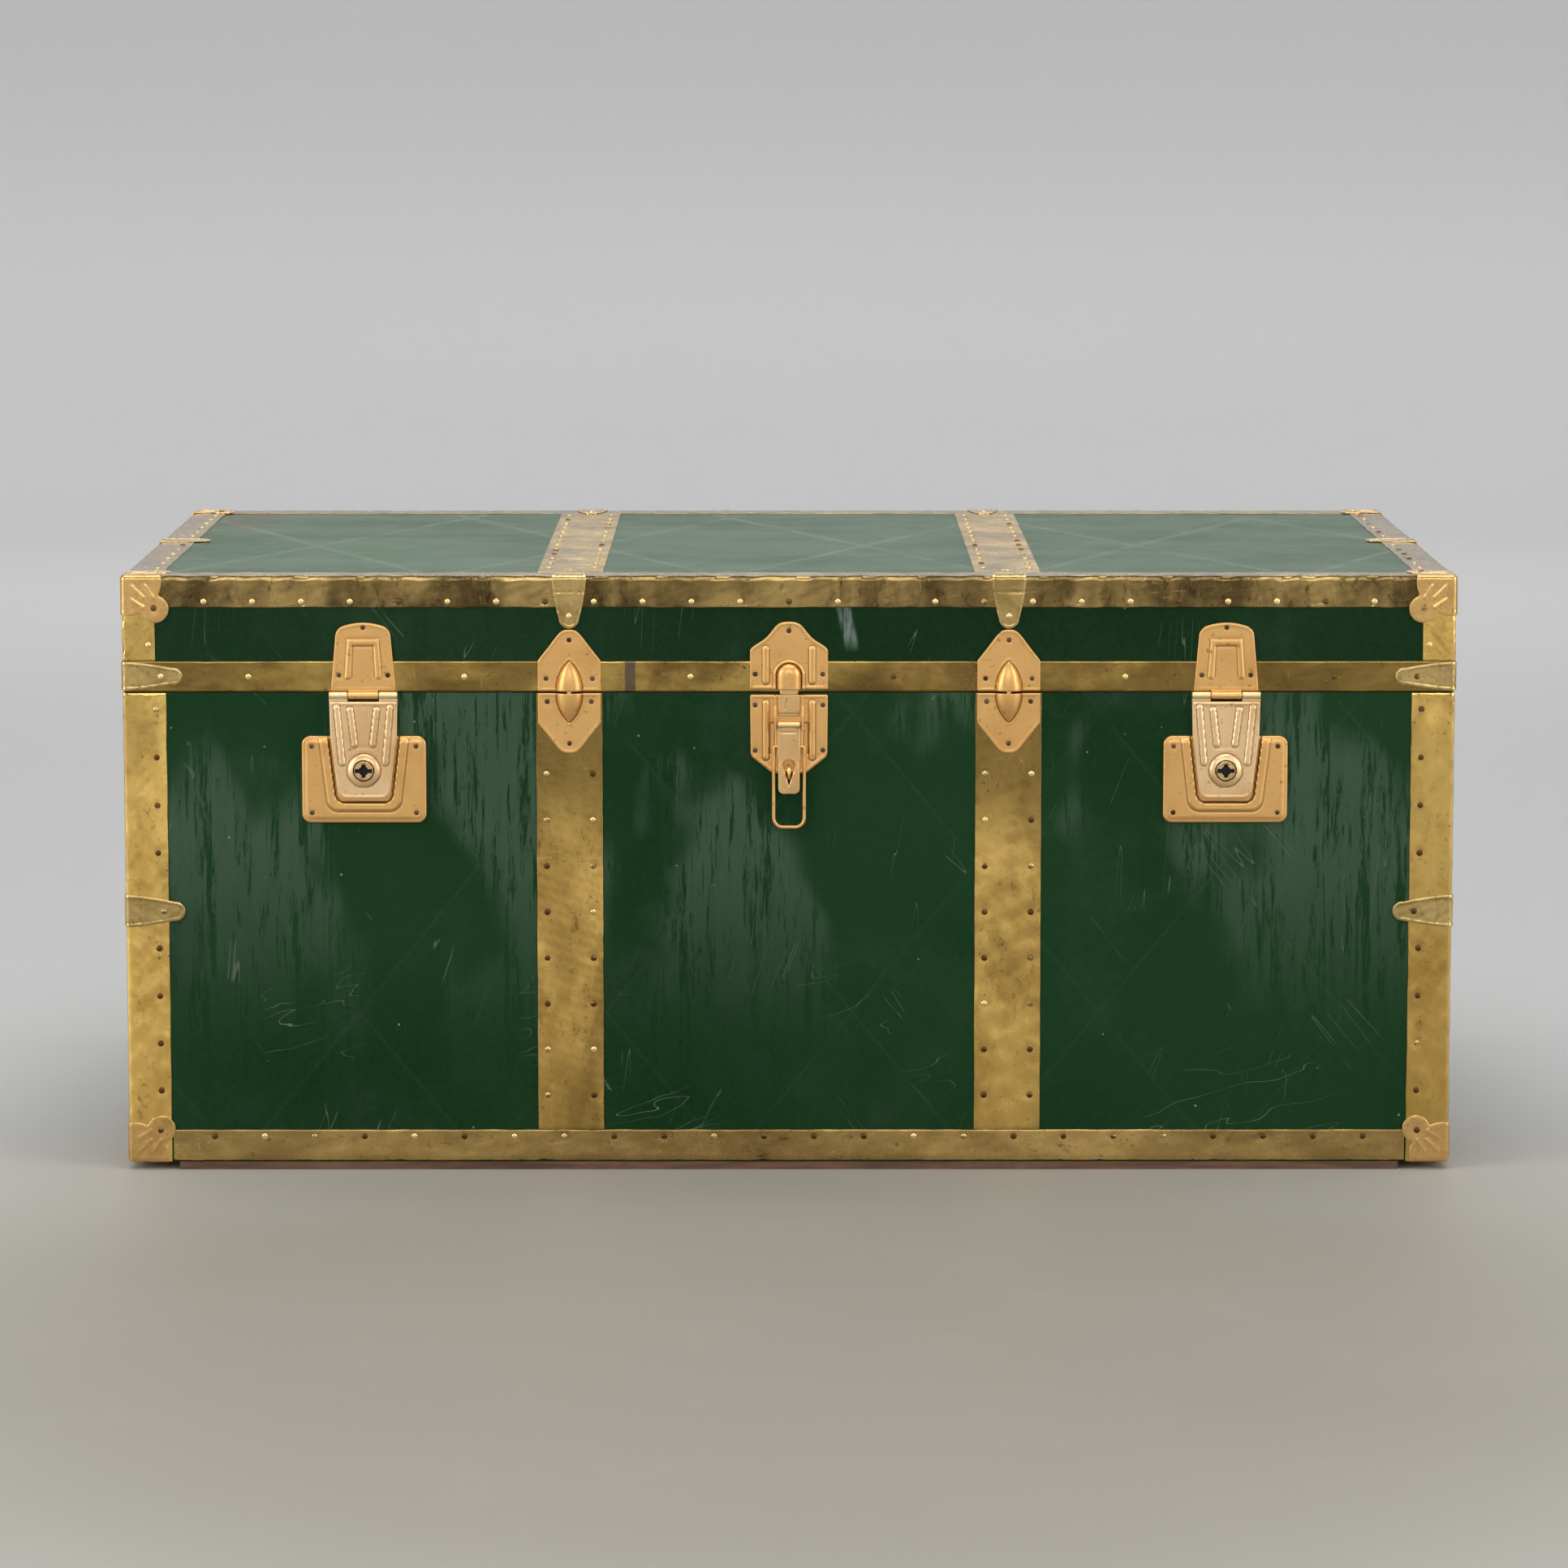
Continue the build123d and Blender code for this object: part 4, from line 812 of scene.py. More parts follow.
def skin_mesh(name, solids, material, body, slot, replaced):
    """Object from (points, share, cells, place, depth) sheets, each closed
    with an inner face and side walls."""
    mesh = bpy.data.meshes.new(name)
    verts, faces, pressed_line = [], [], []
    for points, share, cells, place, deep in solids:
        depth = share * deep
        wave = ripple(len(points), 420.0)(points[:, 0], points[:, 1])
        outer = place(points, -depth - 0.10 + 0.10 * wave)
        inner = place(points, -SKIN + 0 * depth)
        base = len(verts)
        count = len(points)
        verts += [tuple(p) for p in outer * MM] + [tuple(p) for p in inner * MM]
        pressed_line += list(share) * 2
        edge_use = {}
        for f in cells:
            faces.append([i + base for i in f])
            faces.append([i + base + count for i in reversed(f)])
            for a, b in zip(f, f[1:] + f[:1]):
                edge_use[(min(a, b), max(a, b))] = None if (min(a, b), max(a, b)) in edge_use else (a, b)
        for a, b in filter(None, edge_use.values()):
            faces.append([b + base, a + base, a + base + count, b + base + count])
    mesh.from_pydata(verts, [], faces)
    mesh.attributes.new("pressed_line", "FLOAT", "POINT").data.foreach_set("value", pressed_line)
    bm = bmesh.new()
    bm.from_mesh(mesh)
    bmesh.ops.remove_doubles(bm, verts=bm.verts[:], dist=4e-6)
    bmesh.ops.recalc_face_normals(bm, faces=bm.faces[:])
    bm.to_mesh(mesh)
    bm.free()
    show(name, mesh, material, body, slot, replaced, 50)


ARC = FOLD_R * math.pi / 2
LONG = 2 * (SX - FOLD_R)
SHORT = 2 * (SY - FOLD_R)
ROUND = 2 * (LONG + SHORT) + 4 * ARC
BUTT = 0.03                  # half the gap where the skin's ends meet
SKIN = 0.78                  # thickness of the enamelled sheet
PITCH = (214.0, 262.0)       # spacing of the diamond lines, along and up


def around(z0):
    """Maps (u, v, out) on a band round the case; u starts at the middle of
    the back and goes past the left end to the front."""
    runs = [(LONG / 2, (-1, 0), (0, 1)), (SHORT, (0, -1), (-1, 0)), (LONG, (1, 0), (0, -1)),
            (SHORT, (0, 1), (1, 0)), (LONG / 2, (-1, 0), (0, 1))]
    starts = [(0, SY), (-SX, SY - FOLD_R), (-SX + FOLD_R, -SY), (SX, -SY + FOLD_R), (SX - FOLD_R, SY)]

    def place(points, out):
        u, v = np.clip(points[:, 0], BUTT, ROUND - BUTT), points[:, 1]
        xy = np.zeros((len(u), 2))
        begin = 0.0
        for k, (length, way, face) in enumerate(runs):
            way, face, start = np.array(way, float), np.array(face, float), np.array(starts[k], float)
            on = (u >= begin - 0.01) & (u <= begin + length + 0.01)
            xy[on] = start + way * (u[on] - begin)[:, None] + face * out[on][:, None]
            begin += length
            if k < 4:
                on = (u > begin) & (u < begin + ARC)
                phi = ((u[on] - begin) / FOLD_R)[:, None]
                centre = start + way * length - face * FOLD_R
                xy[on] = centre + (face * np.cos(phi) + way * np.sin(phi)) * (FOLD_R + out[on])[:, None]
                begin += ARC
        return np.stack([xy[:, 0], xy[:, 1] + MID_Y, v + z0], 1)
    return place


def band(z0, z1, shift):
    """Skin band round the case, cut by the diamond lines."""
    lines = lattice(ROUND, z1 - z0, *PITCH, shift)
    return *ruled_sheet(ROUND, z1 - z0, lines, 12.0, FACE_LINE[0]), around(z0), FACE_LINE[1]


skin_mesh("body_skin_sheet", [band(BODY_Z0, BODY_Z1, 40.0)],
          look["green"], "case", "green_skin", ("body_skin",))
lid_band = band(LID_Z0, TOP - FOLD_R, 95.0)
top_w, top_d = 2 * SX - 2 * FOLD_R, 2 * SY - 2 * FOLD_R
top_lines = lattice(top_w, top_d, 248.0, 580.0, 20.0)
top_sheet = (*ruled_sheet(top_w, top_d, top_lines, 14.0, TOP_LINE[0]),
             on_face("top", -top_w / 2, -top_d / 2), TOP_LINE[1])
skin_mesh("lid_skin_sheet", [lid_band, top_sheet], look["green_lid"], "lid", "green_lid_skin", ("lid_skin",))


# ---- brass bindings ------------------------------------------------------
def wavy_box(u0, u1, v0, v1, seed, wander):
    """Outline of a strip whose long edges (constant v) wander a little."""
    low, high = ripple(seed, 130.0), ripple(seed + 50, 130.0)

    def outline(points):
        u, v = points[:, 0], points[:, 1]
        return np.maximum.reduce([u0 - u, u - u1, v0 + wander * (1 + low(u)) * 0.5 - v,
                                  v - v1 + wander * (1 + high(u)) * 0.5])
    return outline


def strip(place, u0, u1, v0, v1, seed, step, swell=0.32, wander=0.35, extra=None):
    """Thin binding with hammered waviness and dents at its nails."""
    broad, tight = ripple(seed + 9, 120.0), ripple(seed + 19, 25.0)

    def height(points):
        u, v = points[:, 0], points[:, 1]
        level = TRIM - swell * 0.5 + swell * (0.6 * broad(u, v * 1.4) + 0.4 * tight(u, v))
        return level + (extra(u, v) if extra else 0.0)

    outline = wavy_box(u0, u1, v0, v1, seed, wander)
    return pressed(outline, height, place, (u0, u1, v0, v1), step, 0.0, 0.38, 0.5, 2, dents=nail_dents())


leg = lambda reach: reach - TRIM - FOLD_LOSS     # leg measured from the binding's own corner


def upright_edges(z0, z1, reach, seed, step, creases=False):
    """Angles on the four upright edges of the case."""
    solids = []
    for n, (sx, sy) in enumerate(CORNERS):
        place = upright_edge(sx, sy)
        span = leg(reach)
        tilt = ripple(seed + n, 90.0)

        def extra(u, v, n=n, tilt=tilt):
            dent = -0.30 * bell(v + 11 + 2.5 * tilt(u), 2.2) * smooth(tilt(u, 40), -0.2, 0.5)
            dent = dent - 0.25 * bell(v - 12 + 2.5 * tilt(u + 80), 2.4) * smooth(tilt(u, 90), -0.2, 0.5)
            if creases:
                for z_low, z_high, t_low, t_high in ((449, 479, 4, span), (452, 476, -span, -5)):
                    away = sd_segment(u, v, z_low, t_low, z_high, t_high)
                    dent = dent + 0.40 * bell(away, 1.1) - 0.3 * bell(away - 2.4, 1.2)
            return dent

        solids.append(strip(place, z0, z1, -span, span, seed + n * 3, step, 0.46, 0.5, extra=extra))
    return solids


piece("body_angle_sheets", upright_edges(BODY_Z0 - 0.9, BODY_Z1 - 0.2, 38.0, 101, (3.0, 1.9)), look["angle"],
      "case", "brass_angle", ("body_corner_angles",))
piece("lid_angle_sheets", upright_edges(RIM_Z1 + 0.1, TOP_Z0 - 0.1, 29.0, 151, (2.0, 1.7), True),
      look["angle"], "lid", "brass_angle", ("lid_corner_angles",))


def rim_bands():
    """Lid rim binding in four lengths, each round one upright edge."""
    solids = []
    for n, (sx, sy) in enumerate(CORNERS):
        to_side, to_front = SY - FOLD_LOSS - 0.15, SX - FOLD_LOSS - 0.15

        def pinch(u, v, n=n):
            fold = bell(v - RIM_Z1 + 14, 7.0)
            low = 0.28 * bell(v - (RIM_Z1 - 1.6), 0.8) + 0.30 * bell(v - (LID_Z0 + 1.4), 0.8)
            joint = -0.5 * smooth(np.abs(u - (to_front - 440)), 1.2, 0.3) if n == 0 else 0.0
            beside = -0.45 * bell(u - (to_front - 415), 9.0) * fold if n == 1 else 0.0
            return low + joint + beside

        place = turned(upright_edge(sx, sy))
        solids.append(strip(place, -to_side, to_front, LID_Z0 + 0.05, RIM_Z1, 200 + n * 7, (3.2, 2.2),
                            0.42, 0.25, pinch))
    return solids


piece("lid_rim_sheets", rim_bands(), look["rim"], "lid", "brass_strip", ("lid_rim_strip",))


def level_edges(top, reach_face, reach_flat, seed, step, body_inset, swell, wander):
    """Bindings folded over the four level edges at the top of the lid, or
    under the bottom of the body."""
    solids = []
    z = TOP if top else BODY_Z0
    down = -1 if top else 1
    face_leg, flat_leg = leg(reach_face), leg(reach_flat)
    for n, (axis, sign, half) in enumerate(((0, -1, SX), (0, 1, SX), (1, -1, SY), (1, 1, SY))):
        if axis == 0:
            origin, along, inward = (0, MID_Y + sign * SY, z), (1, 0, 0), (0, -sign, 0)
        else:
            origin, along, inward = (sign * SX, MID_Y, z), (0, 1, 0), (-sign, 0, 0)
        place = on_edge(origin, along, (0, 0, down), inward)
        reach = half - body_inset
        flat_half = reach if axis == 0 else half - (reach_flat - TRIM) - 0.3
        low, high = ripple(seed + n, 120.0), ripple(seed + n + 40, 120.0)
        broad, tight = ripple(seed + n + 9, 140.0), ripple(seed + n + 19, 25.0)
        strong = 1.0 if (axis == 0 and sign == -1) else 0.7

        def outline(points, reach=reach, flat_half=flat_half, low=low, high=high):
            u, v = points[:, 0], points[:, 1]
            ends = np.where(v > 0.8, np.abs(u) - flat_half, np.abs(u) - reach)
            return np.maximum.reduce([ends, -face_leg + wander * (1 + low(u)) * 0.5 - v,
                                      v - flat_leg + wander * (1 + high(u)) * 0.5])

        def height(points, broad=broad, tight=tight, strong=strong):
            u, v = points[:, 0], points[:, 1]
            level = TRIM - swell * 0.5 + swell * strong * (0.6 * broad(u, v * 1.3) + 0.4 * tight(u, v))
            fold = bell(v, 3.2)
            level = level + fold * (0.16 * tight(u * 1.3) - 0.12)
            return level + 0.14 * bell(v + face_leg - 1.4, 0.9)

        bounds = (-reach, reach, -face_leg, flat_leg)
        solids.append(pressed(outline, height, place, bounds, step, 0.0, 0.38, 0.5, 2, dents=nail_dents(0.4)))
    return solids


piece("lid_top_binding", level_edges(True, 28.0, 33.0, 301, (3.0, 1.9), 2.6, 0.58, 0.9), look["top_strip"],
      "lid", "brass_top_strip", ("lid_top_strips",))
low_solids = level_edges(False, 28.6, 28.0, 351, (3.4, 2.2), 38.0, 0.42, 0.5)
back_side = on_face("back")
for n, (u0, u1) in enumerate(((-536.8, -218.4), (-160.6, 160.6), (218.4, 536.8))):
    low_solids.append(strip(back_side, u0, u1, BODY_Z1 - 27, BODY_Z1 - 0.1, 391 + n, (4.0, 2.4)))
piece("body_edge_binding", low_solids, look["low"], "case", "brass_strip", ("body_edge_strips",))

STRAP_HALF = 57.5 / 2
STRAP_X = node_box("lid_straps")[1][0] - STRAP_HALF
LOW_TOP = 35.6               # upper edge of the bottom strip


def rolled(u, v):
    """Raised light-catching line along both long edges of a strap."""
    return 0.30 * bell(np.abs(v) - STRAP_HALF + 1.5, 0.9)


def strap_strip(place, start, end, seed, step, swell):
    return strip(turned(place), start, end, -STRAP_HALF, STRAP_HALF, seed, step, swell, 0.4, rolled)


strap_places = [on_face(side, x) for side in ("front", "back") for x in (-STRAP_X, STRAP_X)]
body_strap_solids = [strap_strip(place, LOW_TOP + 0.1, BODY_Z1 - 0.1, 400 + n, (3.0, 2.1), 0.46)
                     for n, place in enumerate(strap_places)]
piece("body_strap_sheets", body_strap_solids, look["strap"], "case", "brass_strap", ("body_straps",))
top_reach = SY + TRIM - 33.0 - 0.2       # up to the inner edge of the top binding
top_strap_solids = [strap_strip(on_face("top", x), -top_reach, top_reach, 430 + n, (3.6, 2.4), 0.34)
                    for n, x in enumerate((-STRAP_X, STRAP_X))]
piece("lid_strap_sheets", top_strap_solids, look["strap"], "lid", "brass_strap", ("lid_straps",))


# ---- stamped corner caps -------------------------------------------------
CAP_OUTER = 41.5            # reach of a cap's nail lobe from the corner
LOBE = (28.0, 28.0, 12.0)   # centre and radius of the nail lobe


def fan(p, q):
    """Scalloped fan with a round lobe, from two distances to the corner."""
    radius = np.hypot(p, q)
    angle = np.arctan2(q, np.maximum(p, 1e-6))
    scallop = 33.4 + 1.6 * np.abs(np.sin(angle * 3.0 + 0.35 * np.sin(angle * 2)))
    lobe = np.hypot(p - LOBE[0], q - LOBE[1]) - LOBE[2]
    body = (radius - scallop) * 0.97
    blend = np.clip(0.5 + (body - lobe) / 6.0, 0, 1)
    return body * (1 - blend) + lobe * blend - 3.0 * blend * (1 - blend)


def cap_solid(origin, signs, seed, step=1.0):
    """Three flaps pressed over a corner; `signs` point outward along x y z."""
    count = int(CAP_OUTER / step)
    origin, signs = np.array(origin, float), np.array(signs, float)
    index, quads = {}, []

    def vertex(key):
        return index.setdefault(key, len(index))

    for flat in range(3):
        a, b = [k for k in range(3) if k != flat]
        for i in range(count):
            for j in range(count):
                if fan((i + 0.5) * step, (j + 0.5) * step) > -0.5:
                    continue
                corner = []
                for di, dj in ((0, 0), (1, 0), (1, 1), (0, 1)):
                    key = [0, 0, 0]
                    key[a], key[b] = i + di, j + dj
                    corner.append(vertex(tuple(key)))
                quads.append(corner if flat != 1 else corner[::-1])
    points = np.array(list(index), float) * step
    jolt = ripple(seed, 40.0)

    def two(points):
        order = np.sort(points, axis=1)
        return order[:, 2], order[:, 1]

    def outline(points):
        return fan(*two(points))

    def free(points):
        return (points > 1e-3).astype(float)

    ribs = ((8.5, 8.5, 18.5, 18.5), (8.0, 20.0, 18.0, 26.5))

    def height(points):
        p, q = two(points)
        level = 0.86 + 0.05 * jolt(points[:, 0] + 2 * points[:, 1], points[:, 2])
        for p0, q0, p1, q1 in ribs:
            away = np.minimum(sd_segment(p, q, p0, q0, p1, q1), sd_segment(q, p, p0, q0, p1, q1))
            level = level + 0.62 * bell(away, 1.5)
        away = np.hypot(p - LOBE[0], q - LOBE[1])
        level = level - 0.25 * bell(away, 3.6) + 0.18 * bell(away - 7.0, 2.2)
        return level + 0.22 * bell(outline(points) + 2.6, 1.3)

    def place(points, out):
        inner = np.maximum(points, FOLD_R)
        away = inner - points
        size = np.linalg.norm(away, axis=1)[:, None]
        normal = np.where(size > 1e-6, away / np.maximum(size, 1e-6), 0)
        lifted = inner - normal * (FOLD_R + TRIM + (out + 0 * size[:, 0])[:, None])
        return origin - signs * lifted

    return sheet_solid(points, np.array(quads), outline, height, place, 0.02, 0.5, 0.6, 3, free=free)


def caps(z, up, seed):
    return [cap_solid((sx * SX, MID_Y + sy * SY, z), (sx, sy, up), seed + 3 * n)
            for n, (sx, sy) in enumerate(CORNERS)]


piece("lid_cap_shells", caps(TOP, 1, 500), look["cap"], "lid", "brass_cap", ("lid_corner_caps",), 60)
piece("body_cap_shells", caps(BODY_Z0, -1, 540), look["cap"], "case", "brass_cap", ("body_corner_caps",), 60)


# ---- edge clamps ---------------------------------------------------------
def clamp_solid(place, half, leg_length, seed):
    """Tapered tongue with raised round ends, folded over an edge."""
    crush = ripple(seed, 24.0)

    def outline(points):
        s, t = points[:, 0], points[:, 1]
        reach = leg_length
        away = np.abs(t)
        tip = half * 0.60
        width = half * (1 - 0.56 * (away / reach) ** 1.6)
        round_end = np.hypot(s, np.maximum(away - (reach - tip), 0)) - tip
        return np.where(away > reach - tip, round_end, np.abs(s) - np.maximum(width, tip))

    def height(points):
        s, t = points[:, 0], points[:, 1]
        away = np.abs(t)
        reach = leg_length
        level = 0.80 + 0.12 * crush(s, t)
        spoon = np.hypot(s, away - (reach - half * 0.70))
        level = level + 0.40 * bell(spoon, half * 0.34)
        level = level - 0.30 * bell(away - 12.5, 1.3)
        return level + 0.55 * bell(outline(points) + 1.7, 0.85)

    raised = lambda points, out: place(points, out + TRIM)
    bounds = (-half, half, -leg_length, leg_length)
    return pressed(outline, height, raised, bounds, 1.0, 0.02, 0.5, 0.6, 3)


CLAMP_LEG = 45.0 - FOLD_LOSS
LONG_LEG = 51.0 - FOLD_LOSS
lid_clamps, body_clamps = [], []
for sx in (-1, 1):
    for sy in (-1, 1):
        upright = upright_edge(sx, sy)
        at = lambda z, place: (lambda points, out: place(points + np.array([z, 0.0]), out))
        seed = 600 + 10 * sx + sy
        lid_clamps.append(clamp_solid(at((LID_Z0 + RIM_Z1) / 2, upright), 12.6, LONG_LEG, seed))
        body_clamps.append(clamp_solid(at(228.0, upright), 14.1, LONG_LEG, seed + 31))
        over = on_edge((sx * STRAP_X, MID_Y + sy * SY, TOP), (1, 0, 0), (0, 0, -1), (0, -sy, 0))
        lid_clamps.append(clamp_solid(over, 14.8, CLAMP_LEG, seed + 57))
    over = on_edge((sx * SX, MID_Y, TOP), (0, 1, 0), (0, 0, -1), (-sx, 0, 0))
    lid_clamps.append(clamp_solid(over, 14.8, CLAMP_LEG, 700 + sx))
piece("lid_clamp_tongues", lid_clamps, look["clamp"], "lid", "brass_cap", ("lid_edge_clamps",), 60)
piece("body_clamp_tongues", body_clamps, look["clamp"], "case", "brass_cap", ("body_edge_clamps",), 60)


# ---- draw locks ----------------------------------------------------------
def centre_x(node):
    low, high = node_box(node)
    return (low[0] + high[0]) / 2


AXIS_Z = 416.6              # hinge line of the lock tongues
AXIS_OUT = 4.4              # its distance in front of the skin
BEND_Z = 384.0              # height where the tongue starts to taper


def tongue_sides(grow, z_top, z_bottom):
    """Half outline of the tapering tongue, grown sideways."""
    def half(z):
        if z > BEND_Z:
            return 29.6 - 0.6 * (AXIS_Z - z) / (AXIS_Z - BEND_Z)
        return 29.0 - 4.9 * (BEND_Z - z) / (BEND_Z - 336.5)
    right = [(half(z_bottom) + grow, z_bottom), (half(BEND_Z) + grow, BEND_Z), (half(z_top) + grow, z_top)]
    return right + [(-x, z) for x, z in reversed(right)]


def rounded(points, r):
    """Polygon with round corners, from its outline shrunk by r."""
    centre_z = sum(z for _, z in points) / len(points)
    top_z = max(z for _, z in points)
    low_z = min(z for _, z in points)
    shrunk = []
    for x, z in points:
        near = x - math.copysign(r, x)
        shrunk.append((near, z - r if z == top_z else z + r if z == low_z else z))
    return lambda x, z: sd_polygon(x, z, shrunk) - r


def tongue_shape(grow, z_top, z_bottom, corner):
    low = rounded(tongue_sides(grow, z_top + 12, z_bottom), corner)
    return lambda x, z: np.maximum(low(x, z), z - z_top)


def barrel(x, length, out, z, radius, bevel, lip, segments):
    """Rolled knuckle that lies along x."""
    profile = [(radius - lip, 0.0), (radius, bevel), (radius, length - bevel), (radius - lip, length)]
    return capped(profile, (x, FRONT - out, z), (1, 0, 0), segments)


def lock_barrel(x, length):
    return barrel(x, length, AXIS_OUT, AXIS_Z, 3.2, 0.5, 0.5, 24)


def tack_dents(x, z, spots):
    total = 0.0
    for tx, tz in spots:
        away = np.hypot(x - tx, z - tz)
        total = total - 0.28 * bell(away, 3.1)
    return total


def lock_base(x0):
    recess = tongue_shape(3.0, 384.5, 322.5, 9)
    band_edge = tongue_shape(10.0, 379.5, 316.0, 10)
    spots = [(sx * 45, z) for sx in (-1, 1) for z in (372.4, 314.6)]

    def outline(p):
        return sd_box(p[:, 0], p[:, 1] - 343.4, 54.0, 38.0, 8.0)

    def height(p):
        x, z = p[:, 0], p[:, 1]
        level = 3.3 + 1.0 * smooth(-outline(p), 2.0, 5.8) + 0.22 * bell(outline(p) + 2.0, 0.9)
        d = band_edge(x, z)
        level = level + 1.15 * smooth(-d, -0.2, 1.7) + 0.10 * bell(d + 2.2, 0.8)
        level = level - 0.30 * bell(d - 0.9, 0.8)
        level = level - (level - 2.0) * smooth(-recess(x, z), -0.4, 1.4)
        return level + tack_dents(x, z, spots)

    return pressed(outline, height, on_face("front", x0), (-54, 54, 305.4, 381.4), 0.85, 0.0, 1.7, 2.2, 4)


def lock_tongue(x0):
    shape = tongue_shape(0.0, 411.5, 326.3, 8)
    notch_half = 13.6
    ribs = ((23.0, 406, 18.6, 358), (11.4, 404, 7.8, 374))

    def outline(p):
        return shape(p[:, 0], p[:, 1])

    def height(p):
        x, z = np.abs(p[:, 0]), p[:, 1]
        level = 5.2 + 0.35 * bell(outline(p) + 2.2, 1.2)
        level = level + 0.25 * (1 - (x / 30) ** 2) * smooth(z, 326, 345)
        for rx0, rz0, rx1, rz1 in ribs:
            away = sd_segment(x, z, rx0, rz0, rx1, rz1)
            level = level + ridge(away, 2.5, 1.15) - 0.25 * bell(away - 3.2, 0.8)
        crease = sd_segment(x, z, 0, 371.5, 7.2, 371.5)
        level = level - 0.35 * bell(crease, 1.3)
        centre = np.hypot(x, z - 351.5)
        level = level - 0.30 * bell(centre - 15.2, 1.0)
        dome = 4.2 * np.sqrt(np.clip(1 - (np.minimum(centre, 14.0) / 14.6) ** 2.2, 0, 1))
        level = np.maximum(level, 5.3 + np.where(centre < 14.2, dome, 0))
        well = smooth(centre, 8.6, 9.1)
        return level * well + 4.2 * (1 - well)

    front = on_face("front", x0)
    solids = [pressed(outline, height, front, (-29.6, 29.6, 326.3, 411.5), 0.72, 3.4, 1.0, 1.2, 4)]
    for sign in (-1, 1):
        a, b = x0 + sign * notch_half, x0 + sign * 29.6
        start, end = min(a, b), max(a, b)
        solids.append(lock_barrel(start, end - start))
        cx = (start + end) / 2 - x0

        def ear(p, cx=cx, half=(end - start) / 2):
            return sd_box(p[:, 0] - cx, p[:, 1] - 413.2, half, 2.4, 0.3)

        solids.append(pressed(ear, lambda p: 5.2 + 0 * p[:, 0], front,
                              (start - x0, end - x0, 410.8, 415.6), 1.2, 3.5, 0.3, 0.3, 2))
    return solids


def lock_top(x0):
    half_low, half_high = 28.1, 23.4

    def sides(z):
        return half_low + (half_high - half_low) * np.clip((z - 419.9) / (474.0 - 419.9), 0, 1)

    def outline(p):
        x, z = p[:, 0], p[:, 1]
        slant = (np.abs(x) - sides(z)) * 0.996
        crown = z - (479.4 - 5.4 * (x / half_high) ** 2)
        return np.maximum(round_join(slant, crown, 6.0), 419.9 - z)

    def tapered(x, z, half_foot, z_foot, half_head, z_head):
        return sd_polygon(x, z, [(-half_foot, z_foot), (half_foot, z_foot), (half_head, z_head),
                                 (-half_head, z_head)]) - 0.6

    spots = [(0, 475.2), (-21, 434.0), (21, 434.0)]

    def height(p):
        x, z = p[:, 0], p[:, 1]
        level = 2.55 + 0.30 * bell(outline(p) + 2.0, 1.1) * smooth(z, 420, 424)
        outer = tapered(x, z, 15.2, 431, 12.8, 464.5)
        inner = tapered(x, z, 10.4, 424, 8.6, 459.0)
        raised = smooth(-outer, -0.3, 1.4) * smooth(inner, -0.3, 1.4) * smooth(z, 430.0, 432.5)
        level = level + 0.85 * raised
        gutter = bell(outer - 1.0, 0.8) + bell(inner + 1.0, 0.8)
        level = level - 0.22 * gutter * smooth(z, 430, 433)
        return level + tack_dents(x, z, spots)

    front = on_face("front", x0)
    plate = pressed(outline, height, front, (-28.1, 28.1, 419.9, 479.4), 0.75, ON_TRIM, 0.9, 1.2, 4)

    def web(p):
        return sd_box(p[:, 0], p[:, 1] - 419.4, 13.0, 1.9, 0.3)

    web_plate = pressed(web, lambda p: 4.6 + 0 * p[:, 0], front, (-13, 13, 417.5, 421.3), 1.0, 1.3, 0.4,
                        0.4, 2)
    return [plate, lock_barrel(x0 - 13.1, 26.2), web_plate]


lock_x = {side: centre_x(f"lock_plug_{side}") for side in ("left", "right")}
for side, x0 in lock_x.items():
    piece(f"lock_tray_{side}", [lock_base(x0)], look["lacquer"], "case", "lock_lacquer",
          (f"lock_base_{side}",))
    piece(f"lock_flap_{side}", lock_tongue(x0), look["tongue"], f"tongue_{side}", "tongue_brass",
          (f"lock_tongue_{side}",))
    paint_node(f"lock_plug_{side}", "plug")
piece("lock_lid_plates", [s for x0 in lock_x.values() for s in lock_top(x0)], look["lacquer"], "lid",
      "lock_lacquer", ("lock_top_plates",))


# ---- padlock hasp and locating dowels ------------------------------------
DOWEL_STATIONS = ((1.0, 0.0), (0.97, 0.06), (0.64, 0.47), (0.37, 0.84), (0.20, 0.985), (0.0, 1.0))
BELL_STATIONS = ((1.0, 0.0), (0.93, 0.13), (0.60, 0.40), (0.44, 0.66), (0.28, 0.94), (0.0, 1.0))


def shield(half, z_edge, z_shoulder, z_tip, stations):
    """Plate with straight sides up to the shoulder, then a smooth curve
    through the stations (share of width, share of rise) to a round tip."""
    rise = z_tip - z_shoulder
    right = [(half * w, z_shoulder + rise * s) for w, s in stations]
    curve = right + [(-x, z) for x, z in reversed(right[:-1])]
    for _ in range(3):
        cut = [curve[0]]
        for (x0, z0), (x1, z1) in zip(curve, curve[1:]):
            cut.append((0.75 * x0 + 0.25 * x1, 0.75 * z0 + 0.25 * z1))
            cut.append((0.25 * x0 + 0.75 * x1, 0.25 * z0 + 0.75 * z1))
        curve = cut + [curve[-1]]
    points = [(half, z_edge)] + curve + [(-half, z_edge)]
    return lambda x, z: sd_polygon(x, z, points)


def arch_distance(x, z, half, z_edge, z_tip):
    up = 1 if z_tip > z_edge else -1
    spring = z_tip - up * half
    above = np.maximum((z - spring) * up, 0)
    return np.maximum(np.hypot(x, above) - half, (z_edge - z) * up)


